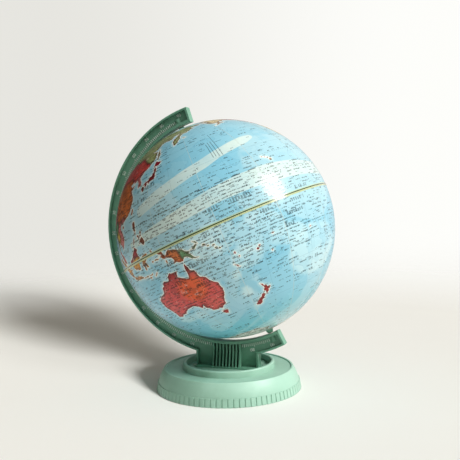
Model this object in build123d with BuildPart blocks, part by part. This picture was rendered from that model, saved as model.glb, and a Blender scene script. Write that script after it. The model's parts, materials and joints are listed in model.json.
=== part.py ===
"""Desktop globe on a tilted axis: a green moulded stand, and a printed globe that spins in it.

Frame: millimetres, +Z up, origin on the floor under the middle of the base.
The meridian arm lies in the XZ plane; the north pole leans towards -X.
"""
import os
from math import asin, cos, degrees, radians, sin

from build123d import *

os.makedirs("parts", exist_ok=True)

# ---------------------------------------------------------------- driving dimensions
globe_radius = 110.0          # outside of the printed paper
globe_height = 162.5          # centre of the globe above the floor
axis_tilt = 23.5              # degrees from vertical

paper = 0.3                   # thickness of the map gores
shell_wall = 2.0              # hemisphere wall
paste_gap = 0.05              # between pieces pasted or slipped together
hoop_wall = 1.5
hoop_angle = 3.2              # degrees the inner hoop reaches each side of the equator
tape_thickness = 0.15
tape_angle = 0.8              # degrees the tape reaches each side of the equator

arm_inner = 114.4             # radii of the meridian arm about the globe's centre
arm_outer = 130.0
inner_flange = 3.0
outer_flange = 2.0
arm_depth = 10.0              # across the flanges, along Y
web = 2.4
end_wall = 2.2
end_past_north = 6.5          # degrees the arm runs on past each pole
end_past_south = 4.4
flange_edge_fillet = 0.5

neck_width = 66.4
neck_wall = 2.2
neck_top_inside = 120.0       # the neck block ends inside the arm at this depth
rib_count = 9
rib_pitch = 3.5
rib_thickness = 1.5
rib_reach_foot = 9.5          # from the middle plane, at the foot
rib_flare_height = 17.0       # above the foot, where the ribs start to widen
foot_flange = 1.5
foot_reach = 11.0
foot_overhang = 1.3
foot_corner = 4.0

base_bottom_radius = 73.9
base_height = 22.2
rim_radius = 65.6
rim_bead = 1.9                # width of the raised bead round the top edge
top_level = 21.2              # flat top inside the bead
top_plate = 2.5
base_wall = 2.4
cone_bulge = 0.75
skirt_height = 8.6
skirt_step = 0.8              # how far the skirt stands out from the cone
lip_height = 0.6              # the skirt's lower edge clears the floor
flute_count = 84
flute_radius = 0.75
collar_outer = 46.8
collar_wall = 3.6
collar_height = 6.6
collar_fillet, rim_fillet = 1.5, 0.7
draft = 0.4
cone_share = 0.83             # of the way from the rim to the foot that the cone has spread at the skirt

clamp_length, clamp_width, clamp_thickness = 44.0, 16.0, 2.0
clamp_corner = 3.0

felt_thickness = 1.5
felt_radius = 69.0
cover_thickness = 2.0
cover_radius = 70.3
ballast_inner, ballast_outer = 42.0, 62.0
ballast_bottom, ballast_top = 10.0, 17.0
ballast_bolt_radius = 52.0
ballast_hole_depth = 3.2
ballast_screw_bite = 3.0      # thread length in the boss above the ring
cover_screw_length = 12.0
post_radius = 4.0
cover_posts = [(x, y) for x in (-24.0, 24.0) for y in (-27.0, 27.0)]

pin_radius = 1.5
pin_outer_end, pin_inner_end = 121.4, 99.0      # along the axis from the globe's centre
pin_boss_radius = 3.2
pin_boss_end = 122.8
pin_chamfer = 0.3
pole_wide, pole_narrow = 4.15, 2.6              # radii of the tapered boss
pole_seat, pole_tip = 110.02, 113.5
spigot_radius, spigot_end = 3.5, 101.0
pole_flange_radius, pole_flange_top, pole_flange_thickness = 12.0, 106.9, 2.0
washer_radius, washer_bottom, washer_top = 2.9, 113.85, 114.3

screw_radius = 1.5
head_radius = 2.9
head_height = 1.8
column_radius = 3.4
column_top = 38.0
column_roof = 1.0             # left above the screw hole
arm_screw_end = 35.0
tenon_end = 19.2
hole_gap = 0.02               # a screw or a pin in the hole that grips it
clear_gap = 0.2               # a screw or a tenon in a clearance hole
running_gap = 0.05            # boss on its pin
overcut = 1.0                 # how far a cutting shape runs past the surface it cuts

# ---------------------------------------------------------------- derived frames and sizes
tilt = radians(axis_tilt)
globe_centre = Vector(0, 0, globe_height)
north = Vector(-sin(tilt), 0, cos(tilt))
globe_axis = Axis(globe_centre, north)
# Sketches on these two planes have their normal towards -Y. The first has X to the right and
# Y up; the second is turned with the globe, so its Y runs along the axis to the north pole.
arm_plane = Plane(origin=globe_centre, x_dir=(1, 0, 0), z_dir=(0, -1, 0))
meridian_plane = Plane(origin=globe_centre, x_dir=(cos(tilt), 0, sin(tilt)), z_dir=(0, -1, 0))
north_plane = Plane(origin=globe_centre, x_dir=(cos(tilt), 0, sin(tilt)), z_dir=north)
south_plane = Plane(origin=globe_centre, x_dir=(cos(tilt), 0, sin(tilt)), z_dir=-north)

arm_start = 90 + axis_tilt - end_past_north
arm_sweep = 180 + end_past_north + end_past_south
end_wall_angle = degrees(end_wall / arm_outer)
half_neck = neck_width / 2
foot_y = top_level - globe_height
rib_places = [(i - (rib_count - 1) / 2) * rib_pitch for i in range(rib_count)]
column_places = [(-2.5 * rib_pitch, 0), (2.5 * rib_pitch, 0)]

skirt_radius = rim_radius + (base_bottom_radius - rim_radius) * cone_share
cone_foot = skirt_radius - skirt_step
under_top = top_level - top_plate
cover_top = felt_thickness + cover_thickness
shell_outer = globe_radius - paper - paste_gap
shell_inner = shell_outer - shell_wall


def ring_sector(inner, outer, start, sweep):
    """Outline of a ring sector about the sketch origin, ready for make_face."""
    CenterArc((0, 0), outer, start, sweep)
    CenterArc((0, 0), inner, start, sweep)
    for angle in (start, start + sweep):
        c, s = cos(radians(angle)), sin(radians(angle))
        Line((inner * c, inner * s), (outer * c, outer * s))


def pole_hole_angle(hole_radius, sphere_radius):
    """Latitude in degrees at which a sphere is cut by a hole round its pole."""
    return 90 - degrees(asin(hole_radius / sphere_radius))


def write(part, name):
    """Label one finished piece and export it."""
    part.label = name
    export_step(part, f"parts/{name}.step")


def at_height(z):
    """Selector for edges whose centre lies at height z."""
    return lambda edge: abs(edge.center().Z - z) < 0.01


# ---------------------------------------------------------------- base shell
flute_foot = Vector(base_bottom_radius, 0, lip_height)
flute_head = Vector(skirt_radius, 0, skirt_height)
flute_axis = Plane(origin=(flute_foot + flute_head) / 2, z_dir=flute_head - flute_foot)
flute_tool = flute_axis * Cylinder(flute_radius, 2 * skirt_height)
ballast_bosses = PolarLocations(ballast_bolt_radius, 3, start_angle=90)

with BuildPart() as base_shell:
    with BuildSketch(Plane.XZ):
        with BuildLine():
            Polyline(
                (0, under_top),
                (0, top_level),
                (collar_outer - collar_wall, top_level),
                (collar_outer - collar_wall, top_level + collar_height),
                (collar_outer, top_level + collar_height),
                (collar_outer + draft, top_level),
                (rim_radius - rim_bead - draft, top_level),
                (rim_radius - rim_bead, base_height),
                (rim_radius, base_height),
            )
            ThreePointArc(
                (rim_radius, base_height),
                ((rim_radius + cone_foot) / 2 + cone_bulge, (base_height + skirt_height) / 2),
                (cone_foot, skirt_height),
            )
            Polyline(
                (cone_foot, skirt_height),
                (skirt_radius, skirt_height),
                (base_bottom_radius, lip_height),
                (base_bottom_radius - base_wall, lip_height),
                (skirt_radius - base_wall, skirt_height - base_wall / 2),
                (rim_radius - base_wall, under_top),
                (0, under_top),
            )
        make_face()
    revolve(axis=Axis.Z)
    fillet(base_shell.edges().filter_by(at_height(top_level + collar_height)), collar_fillet)
    fillet(base_shell.edges().filter_by(at_height(base_height)), rim_fillet)
    with PolarLocations(0, flute_count):
        add(flute_tool, mode=Mode.SUBTRACT)
    # Posts for the cover screws and short bosses that the ballast hangs from.
    with BuildSketch(Plane.XY.offset(under_top)):
        with Locations(*cover_posts):
            Circle(post_radius)
    extrude(amount=cover_top - under_top)
    with BuildSketch(Plane.XY.offset(under_top)):
        with ballast_bosses:
            Circle(post_radius)
    extrude(amount=ballast_top - under_top)
    with BuildSketch(Plane.XY.offset(cover_top)):
        with Locations(*cover_posts):
            Circle(screw_radius + hole_gap)
    extrude(amount=cover_screw_length, mode=Mode.SUBTRACT)
    with BuildSketch(Plane.XY.offset(ballast_top)):
        with ballast_bosses:
            Circle(screw_radius + hole_gap)
    extrude(amount=ballast_hole_depth, mode=Mode.SUBTRACT)
    with BuildSketch(Plane.XY.offset(under_top)):
        with Locations(*column_places):
            Circle(column_radius + clear_gap)
    extrude(amount=top_plate, mode=Mode.SUBTRACT)
write(base_shell.part, "base_shell")

# ---------------------------------------------------------------- meridian arm with its neck
pocket_depth = (arm_depth - web) / 2
rib_profile_top = globe_height - arm_inner - inner_flange / 2

with BuildPart() as meridian_arm:
    with BuildSketch(arm_plane):
        with BuildLine():
            ring_sector(arm_inner, arm_outer, arm_start, arm_sweep)
        make_face()
        with Locations((0, (foot_y - neck_top_inside) / 2)):
            Rectangle(neck_width, -foot_y - neck_top_inside)
    extrude(amount=arm_depth / 2, both=True)
    fillet(
        meridian_arm.edges().filter_by(GeomType.CIRCLE).filter_by(lambda e: e.radius > arm_inner / 2),
        flange_edge_fillet,
    )
    # The recess between the flanges runs on down into the neck, on both faces.
    for side in (1, -1):
        with BuildSketch(arm_plane.offset(side * web / 2)):
            with Locations((0, (foot_y - arm_inner) / 2)):
                Rectangle(neck_width - 2 * neck_wall, -foot_y - arm_inner)
            Circle(arm_inner + inner_flange, mode=Mode.SUBTRACT)
            with BuildLine():
                ring_sector(
                    arm_inner + inner_flange,
                    arm_outer - outer_flange,
                    arm_start + end_wall_angle,
                    arm_sweep - 2 * end_wall_angle,
                )
            make_face()
        extrude(amount=side * (pocket_depth + overcut), mode=Mode.SUBTRACT)
    # Comb of ribs, flush with the flanges above and flaring towards the foot.
    with BuildSketch(*[Plane.YZ.offset(x) for x in rib_places]):
        with BuildLine():
            Polyline(
                (-arm_depth / 2, rib_profile_top),
                (-arm_depth / 2, top_level + rib_flare_height),
                (-rib_reach_foot, top_level),
                (rib_reach_foot, top_level),
                (arm_depth / 2, top_level + rib_flare_height),
                (arm_depth / 2, rib_profile_top),
                (-arm_depth / 2, rib_profile_top),
            )
        make_face()
    extrude(amount=rib_thickness / 2, both=True)
    # Foot flange that stands on the base, inside the collar.
    with BuildSketch(Plane.XY.offset(top_level)):
        RectangleRounded(neck_width + 2 * foot_overhang, 2 * foot_reach, foot_corner)
    extrude(amount=foot_flange)
    # Screw columns hidden in the comb, with tenons that locate the neck in the base.
    with BuildSketch(Plane.XY.offset(tenon_end)):
        with Locations(*column_places):
            Circle(column_radius)
    extrude(amount=column_top - tenon_end)
    with BuildSketch(Plane.XY.offset(tenon_end)):
        with Locations(*column_places):
            Circle(screw_radius + hole_gap)
    extrude(amount=column_top - tenon_end - column_roof, mode=Mode.SUBTRACT)
    # Bosses and holes for the pivot pins.
    for pole in (north_plane, south_plane):
        with BuildSketch(pole.offset(arm_inner + inner_flange / 2)):
            Circle(pin_boss_radius)
        extrude(amount=pin_boss_end - arm_inner - inner_flange / 2)
        with BuildSketch(pole.offset(arm_inner - overcut)):
            Circle(pin_radius + hole_gap)
        extrude(amount=pin_outer_end - arm_inner + overcut, mode=Mode.SUBTRACT)
write(meridian_arm.part, "meridian_arm")

# ---------------------------------------------------------------- fixing of the arm
clamp_bottom = under_top - clamp_thickness

with BuildPart() as arm_clamp_plate:
    with BuildSketch(Plane.XY.offset(clamp_bottom)):
        RectangleRounded(clamp_length, clamp_width, clamp_corner)
        with Locations(*column_places):
            Circle(screw_radius + clear_gap, mode=Mode.SUBTRACT)
    extrude(amount=clamp_thickness)
write(arm_clamp_plate.part, "arm_clamp_plate")

with BuildPart() as arm_screws:
    with BuildSketch(Plane.XY.offset(clamp_bottom - head_height)):
        with Locations(*column_places):
            Circle(head_radius)
    extrude(amount=head_height)
    with BuildSketch(Plane.XY.offset(clamp_bottom)):
        with Locations(*column_places):
            Circle(screw_radius)
    extrude(amount=arm_screw_end - clamp_bottom)
write(arm_screws.part, "arm_screws")

# ---------------------------------------------------------------- ballast
with BuildPart() as ballast_ring:
    with BuildSketch(Plane.XY.offset(ballast_bottom)):
        Circle(ballast_outer)
        Circle(ballast_inner, mode=Mode.SUBTRACT)
        with ballast_bosses:
            Circle(screw_radius + clear_gap, mode=Mode.SUBTRACT)
    extrude(amount=ballast_top - ballast_bottom)
    with BuildSketch(Plane.XY.offset(ballast_bottom)):
        with ballast_bosses:
            Circle(head_radius + clear_gap)
    extrude(amount=head_height, mode=Mode.SUBTRACT)
write(ballast_ring.part, "ballast_ring")

with BuildPart() as ballast_screws:
    with BuildSketch(Plane.XY.offset(ballast_bottom)):
        with ballast_bosses:
            Circle(head_radius)
    extrude(amount=head_height)
    with BuildSketch(Plane.XY.offset(ballast_bottom + head_height)):
        with ballast_bosses:
            Circle(screw_radius)
    extrude(amount=ballast_top + ballast_screw_bite - ballast_bottom - head_height)
write(ballast_screws.part, "ballast_screws")

# ---------------------------------------------------------------- cover, its screws and the felt
with BuildPart() as base_cover:
    with BuildSketch(Plane.XY.offset(felt_thickness)):
        Circle(cover_radius)
    extrude(amount=cover_thickness)
    with Locations(Plane.XY.offset(felt_thickness)):
        with Locations(*cover_posts):
            CounterSinkHole(
                screw_radius + clear_gap, head_radius + clear_gap, cover_thickness, counter_sink_angle=90
            )
write(base_cover.part, "base_cover")

with BuildPart() as cover_screws:
    with BuildSketch(Plane.XY.offset(felt_thickness)):
        with Locations(*cover_posts):
            Circle(head_radius)
    extrude(amount=head_radius - screw_radius, taper=45)
    with BuildSketch(Plane.XY.offset(felt_thickness)):
        with Locations(*cover_posts):
            Circle(screw_radius)
    extrude(amount=cover_screw_length)
write(cover_screws.part, "cover_screws")

with BuildPart() as felt_pad:
    with BuildSketch():
        Circle(felt_radius)
    extrude(amount=felt_thickness)
write(felt_pad.part, "felt_pad")

# ---------------------------------------------------------------- pivots at the two poles
for pole_name, pole in (("north", north_plane), ("south", south_plane)):
    with BuildPart() as pivot_pin:
        with BuildSketch(pole.offset(pin_inner_end)):
            Circle(pin_radius)
        extrude(amount=pin_outer_end - pin_inner_end)
        chamfer(pivot_pin.edges(), pin_chamfer)
    write(pivot_pin.part, f"{pole_name}_pivot_pin")

    with BuildPart() as thrust_washer:
        with BuildSketch(pole.offset(washer_bottom)):
            Circle(washer_radius)
            Circle(pin_radius + running_gap, mode=Mode.SUBTRACT)
        extrude(amount=washer_top - washer_bottom)
    write(thrust_washer.part, f"{pole_name}_thrust_washer")

    with BuildPart() as pole_boss:
        with BuildSketch(pole.offset(spigot_end)):
            Circle(spigot_radius)
        extrude(amount=pole_seat - spigot_end)
        with BuildSketch(pole.offset(pole_seat)):
            Circle(pole_wide)
        with BuildSketch(pole.offset(pole_tip)):
            Circle(pole_narrow)
        loft()
        with BuildSketch(pole.offset(spigot_end)):
            Circle(pin_radius + running_gap)
        extrude(amount=pole_tip - spigot_end, mode=Mode.SUBTRACT)
    write(pole_boss.part, f"{pole_name}_pole_boss")

    with BuildPart() as boss_flange:
        with BuildSketch(pole.offset(pole_flange_top - pole_flange_thickness)):
            Circle(pole_flange_radius)
            Circle(spigot_radius + hole_gap, mode=Mode.SUBTRACT)
        extrude(amount=pole_flange_thickness)
    write(boss_flange.part, f"{pole_name}_boss_flange")

# ---------------------------------------------------------------- globe
map_hole = spigot_radius + clear_gap
shell_layers = (
    ("hemisphere", shell_inner, shell_outer),
    ("map", globe_radius - paper, globe_radius),
)
for layer, inner, outer in shell_layers:
    reach = pole_hole_angle(map_hole, outer)
    for pole_name, start in (("north", 0), ("south", -reach)):
        with BuildPart() as half_shell:
            with BuildSketch(meridian_plane):
                with BuildLine():
                    ring_sector(inner, outer, start, reach)
                make_face()
            revolve(axis=globe_axis)
        write(half_shell.part, f"{pole_name}_{layer}")

hoop_outer = shell_inner - paste_gap
tape_inner = globe_radius + paste_gap / 2
bands = (
    ("joint_hoop", hoop_outer - hoop_wall, hoop_outer, hoop_angle),
    ("equator_tape", tape_inner, tape_inner + tape_thickness, tape_angle),
)
for band_name, inner, outer, reach in bands:
    with BuildPart() as band:
        with BuildSketch(meridian_plane):
            with BuildLine():
                ring_sector(inner, outer, -reach, 2 * reach)
            make_face()
        revolve(axis=globe_axis)
    write(band.part, band_name)
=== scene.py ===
"""Looks of the desktop globe: materials for the CAD nodes, the printed map gores, the moulded
latitude scale, studio floor, lights and camera. Metres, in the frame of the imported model."""

import json
from math import asin, atan2, cos, degrees, floor, hypot, radians, sin

import bmesh
import bpy
from mathutils import Matrix, Quaternion, Vector
from mathutils.geometry import delaunay_2d_cdt
from mathutils.kdtree import KDTree


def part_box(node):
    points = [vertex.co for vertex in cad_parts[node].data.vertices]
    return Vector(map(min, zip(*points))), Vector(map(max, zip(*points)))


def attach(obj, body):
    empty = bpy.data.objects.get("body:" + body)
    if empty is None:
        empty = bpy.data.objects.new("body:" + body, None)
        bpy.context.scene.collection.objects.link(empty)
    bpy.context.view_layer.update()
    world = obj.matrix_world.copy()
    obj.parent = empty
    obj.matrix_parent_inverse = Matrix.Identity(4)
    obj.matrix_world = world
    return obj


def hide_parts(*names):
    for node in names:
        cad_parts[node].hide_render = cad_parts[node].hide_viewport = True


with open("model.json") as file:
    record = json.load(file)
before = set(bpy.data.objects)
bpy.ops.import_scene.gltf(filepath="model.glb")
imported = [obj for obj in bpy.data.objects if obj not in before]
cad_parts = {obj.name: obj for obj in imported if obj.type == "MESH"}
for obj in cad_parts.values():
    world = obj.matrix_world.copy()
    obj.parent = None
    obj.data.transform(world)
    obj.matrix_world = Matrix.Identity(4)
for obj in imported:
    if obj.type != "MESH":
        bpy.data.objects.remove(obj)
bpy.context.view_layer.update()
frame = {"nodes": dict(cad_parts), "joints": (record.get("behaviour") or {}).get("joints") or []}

# ---------------------------------------------------------------- places read from the frame
joint = frame["joints"][0]
CENTRE = Vector(joint["pos_m"])
NORTH = Vector(joint["axis"]).normalized()
EAST = Vector((0, 1, 0))
PRIME = EAST.cross(NORTH)
GLOBE_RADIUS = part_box("north_map")[1].y
WEB_FACE = 0.0012
AXIS_ANGLE = degrees(atan2(NORTH.z, NORTH.x))
MM = 0.001


def srgb(red, green, blue):
    """Linear colour of an sRGB triple written from 0 to 255."""
    def linear(c):
        c /= 255
        return c / 12.92 if c <= 0.04045 else ((c + 0.055) / 1.055) ** 2.4
    return linear(red), linear(green), linear(blue)


def blend(a, b, share):
    """Colour a turning into colour b as share goes from 0 to 1."""
    return tuple(p + (q - p) * share for p, q in zip(a, b))


def smooth(low, high, x):
    """Smooth step of x from 0 at low to 1 at high."""
    t = min(1.0, max(0.0, (x - low) / (high - low)))
    return t * t * (3 - 2 * t)


# ---------------------------------------------------------------- node materials
class Shader:
    """A Principled material with short calls for adding nodes."""

    def __init__(self, name, roughness, **constants):
        self.material = bpy.data.materials.new(name)
        self.material.use_nodes = True
        self.tree = self.material.node_tree
        self.surface = self.tree.nodes["Principled BSDF"]
        self.surface.inputs["Roughness"].default_value = roughness
        for socket, value in constants.items():
            self.surface.inputs[socket.replace("_", " ")].default_value = value

    def put(self, socket, value):
        if isinstance(value, bpy.types.NodeSocket):
            self.tree.links.new(value, socket)
        elif isinstance(value, tuple) and len(value) == 3 and socket.type == "RGBA":
            socket.default_value = (*value, 1)
        else:
            socket.default_value = value

    def node(self, kind, inputs=(), **settings):
        made = self.tree.nodes.new("ShaderNode" + kind)
        for name, value in settings.items():
            setattr(made, name, value)
        for name, value in dict(inputs).items():
            self.put(made.inputs[name], value)
        return made

    def math(self, operation, a, b=0.0, c=0.0):
        made = self.node("Math", operation=operation)
        for socket, value in zip(made.inputs, (a, b, c)):
            self.put(socket, value)
        return made.outputs[0]

    def step(self, low, high, value):
        """0 below low, 1 above high, smooth between."""
        inputs = {"Value": value, "From Min": low, "From Max": high}
        return self.node("MapRange", inputs, interpolation_type="SMOOTHSTEP").outputs[0]

    def inside(self, low, high, value):
        """1 where value is between low and high."""
        above = self.math("GREATER_THAN", value, low)
        return self.math("MULTIPLY", above, self.math("LESS_THAN", value, high))

    def product(self, *values):
        result = values[0]
        for value in values[1:]:
            result = self.math("MULTIPLY", result, value)
        return result

    def mix(self, factor, a, b):
        made = self.node("Mix", data_type="RGBA")
        self.put(made.inputs["Factor"], factor)
        self.put(made.inputs["A"], a)
        self.put(made.inputs["B"], b)
        return made.outputs["Result"]

    def place(self):
        return self.node("TexCoord").outputs["Object"]

    def noise(self, scale, detail=3.0, vector=None, distortion=0.0):
        """Fractal noise, over the piece's own coordinates unless a vector is given."""
        inputs = {"Scale": scale, "Detail": detail, "Roughness": 0.55, "Distortion": distortion}
        inputs["Vector"] = self.place() if vector is None else vector
        return self.node("TexNoise", inputs, noise_dimensions="3D").outputs["Fac"]

    def attribute(self, name, output="Fac"):
        return self.node("Attribute", attribute_name=name).outputs[output]

    def split(self, vector):
        return self.node("SeparateXYZ", {"Vector": vector}).outputs

    def join(self, x, y, z=0.0):
        return self.node("CombineXYZ", {"X": x, "Y": y, "Z": z}).outputs[0]

    def random(self, vector):
        return self.node("TexWhiteNoise", {"Vector": vector}, noise_dimensions="3D")

    def bump(self, height, distance, strength=1.0, normal=None):
        made = self.node("Bump", {"Height": height, "Distance": distance, "Strength": strength})
        if normal is not None:
            self.put(made.inputs["Normal"], normal)
        self.put(self.surface.inputs["Normal"], made.outputs[0])

    def colour(self, value):
        self.put(self.surface.inputs["Base Color"], value)

    def roughness(self, value):
        self.put(self.surface.inputs["Roughness"], value)


def moulded_plastic(name, colour, pale, roughness, recess_shade_share=0.28):
    """Satin injection-moulded plastic: faint flow tone, painted shade darkening the recesses, softened
    edges, fine grain.
    """
    s = Shader(name, roughness, Coat_Weight=0.2, Coat_Roughness=0.4, Coat_IOR=1.5, IOR=1.45)
    flow = s.step(0.35, 0.7, s.noise(22.0, 4.0, distortion=0.6))
    tone = s.mix(flow, colour, pale)
    # Painted shade: the colour darkens where ambient occlusion finds a recess.
    hollow = s.node("AmbientOcclusion", {"Distance": 0.006}, samples=4).outputs["AO"]
    painted_recess_shade = s.math("MULTIPLY", s.step(0.0, 0.75, s.math("SUBTRACT", 1.0, hollow)), recess_shade_share)
    tone = s.mix(painted_recess_shade, tone, tuple(c * 0.55 for c in colour))
    specks = s.step(0.73, 0.78, s.noise(900.0, 2.0))
    tone = s.mix(s.math("MULTIPLY", specks, 0.10), tone, (0.75, 0.85, 0.8))
    s.colour(tone)
    s.roughness(s.math("ADD", roughness - 0.06, s.math("MULTIPLY", s.noise(60.0, 3.0), 0.14)))
    edges = s.node("Bevel", {"Radius": 0.00035}, samples=4).outputs["Normal"]
    s.bump(s.noise(1600.0, 3.0), 0.00004, 0.5, edges)
    return s.material


def brushed_metal(name, colour, roughness):
    """Turned or plated steel with fine scratches along the axis of the piece."""
    s = Shader(name, roughness, Metallic=1.0)
    stretch = s.node("Mapping", {"Vector": s.place(), "Scale": (900.0, 900.0, 120.0)}).outputs[0]
    scratches = s.noise(1.0, 4.0, stretch)
    s.colour(s.mix(scratches, tuple(c * 0.8 for c in colour), colour))
    s.roughness(s.math("ADD", roughness - 0.08, s.math("MULTIPLY", scratches, 0.18)))
    s.bump(scratches, 0.00002, 0.6)
    return s.material


def cast_iron():
    """Dark cast weight with a lumpy sand-cast skin."""
    s = Shader("cast_iron", 0.6, Metallic=0.3)
    lumps = s.noise(420.0, 5.0)
    s.colour(s.mix(s.step(0.4, 0.7, lumps), (0.012, 0.012, 0.013), (0.05, 0.048, 0.045)))
    s.bump(lumps, 0.00025, 0.8)
    return s.material


def felt():
    """Deep green felt with loose fibres and a soft sheen."""
    s = Shader("felt", 0.95, Sheen_Weight=0.6, Sheen_Roughness=0.5)
    fibres = s.noise(1800.0, 5.0, distortion=2.5)
    patches = s.noise(60.0, 3.0)
    base = s.mix(patches, (0.012, 0.055, 0.028), (0.020, 0.085, 0.045))
    s.colour(s.mix(s.step(0.45, 0.75, fibres), base, (0.05, 0.16, 0.10)))
    s.bump(fibres, 0.0003, 0.9)
    return s.material


def nylon():
    """Natural nylon, slightly waxy."""
    s = Shader("nylon", 0.42, IOR=1.53)
    s.colour(s.mix(s.noise(300.0), (0.66, 0.64, 0.56), (0.78, 0.76, 0.70)))
    s.bump(s.noise(2500.0), 0.00002, 0.5)
    return s.material


def inner_shell():
    """Unpainted shell of the globe, hidden under the map."""
    s = Shader("globe_shell", 0.6)
    s.colour(s.mix(s.noise(45.0, 4.0), (0.52, 0.51, 0.45), (0.64, 0.63, 0.58)))
    s.bump(s.noise(700.0), 0.00005, 0.5)
    return s.material


def globe_latitude(s):
    """(latitude, longitude) in degrees on the globe, worked out from the piece's own coordinates."""
    offset = s.node("VectorMath", {0: s.place(), 1: tuple(CENTRE)}, operation="SUBTRACT")
    heading = s.node("VectorMath", {0: offset.outputs["Vector"]}, operation="NORMALIZE").outputs["Vector"]
    along = [
        s.node("VectorMath", {0: heading, 1: tuple(axis)}, operation="DOT_PRODUCT").outputs["Value"]
        for axis in (PRIME, EAST, NORTH)
    ]
    latitude = s.math("MULTIPLY", s.math("ARCSINE", along[2]), degrees(1))
    longitude = s.math("MULTIPLY", s.math("ARCTAN2", along[1], along[0]), degrees(1))
    return latitude, longitude


def equator_print():
    """Varnished tape: a dark line between a cream and a yellow edge, with degree marks."""
    s = Shader("tape_print", 0.2, Coat_Weight=0.6, Coat_Roughness=0.14)
    latitude, longitude = globe_latitude(s)
    fade = s.noise(30.0, 3.0)
    cream = s.mix(fade, srgb(184, 212, 188), srgb(206, 222, 186))
    yellow = s.mix(fade, srgb(188, 202, 150), srgb(214, 221, 178))
    line = s.mix(fade, srgb(44, 60, 34), srgb(72, 84, 44))
    base = s.mix(s.step(-0.12, -0.02, latitude), yellow, cream)
    base = s.mix(s.inside(-0.10, 0.40, latitude), base, line)
    degree = s.math("FRACT", longitude)
    mark = s.product(s.inside(-0.50, -0.10, latitude), s.math("LESS_THAN", degree, 0.16))
    base = s.mix(s.math("MULTIPLY", mark, 0.7), base, line)
    s.colour(base)
    s.bump(s.noise(800.0), 0.00003, 0.5)
    return s.material


def label_rows(s, longitude, latitude, density, height, pitch, letter, salt):
    """Mask of short broken strokes in rows, too small and irregular to read, like fine map print."""
    row = s.math("FLOOR", s.math("DIVIDE", latitude, height))
    middle = s.math("MULTIPLY", s.math("ADD", row, 0.5), height * radians(1))
    along = s.math("MULTIPLY", longitude, s.math("COSINE", middle))
    up = s.math("FRACT", s.math("DIVIDE", latitude, height))
    shifted = s.math("ADD", s.math("DIVIDE", along, pitch), s.random(s.join(row, salt)).outputs["Value"])
    cell = s.math("FLOOR", shifted)
    word = s.split(s.random(s.join(row, cell, salt)).outputs["Color"])
    length = s.math("MULTIPLY_ADD", word[1], 0.62, 0.22)
    start = s.math("MULTIPLY", s.math("SUBTRACT", 0.98, length), word[2])
    inner = s.math("SUBTRACT", s.math("FRACT", shifted), start)
    in_word = s.inside(0.0, length, inner)
    stroke = s.math("DIVIDE", along, letter)
    shape = s.split(s.random(s.join(s.math("FLOOR", stroke), row, salt + 7)).outputs["Color"])
    ink = s.math("LESS_THAN", s.math("FRACT", stroke), s.math("MULTIPLY_ADD", shape[1], 0.35, 0.45))
    high = s.math("LESS_THAN", up, s.math("MULTIPLY_ADD", shape[2], 0.16, 0.50))
    low = s.math("GREATER_THAN", up, s.math("MULTIPLY_ADD", shape[1], -0.08, 0.30))
    printed = s.math("LESS_THAN", word[0], density)
    not_a_gap = s.math("GREATER_THAN", shape[0], 0.13)
    return s.product(printed, in_word, ink, high, low, not_a_gap)


# Dark printed strokes: (longitude, from latitude, to latitude) and (latitude, from, to, pitch).
MERIDIAN_STROKES = [
    (177, 31, 41), (178.6, 31, 42), (180.5, 30.5, 42), (182.4, 30.5, 48), (-118, 8, 24),
]
PARALLEL_DASHES = [
    (15.5, 120, 150, 1.6), (-6, 181, 190, 1.5), (17.5, 150, 195, 9.0), (-31, 60, 100, 2.4),
    (28, -60, -30, 2.0),
]


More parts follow.
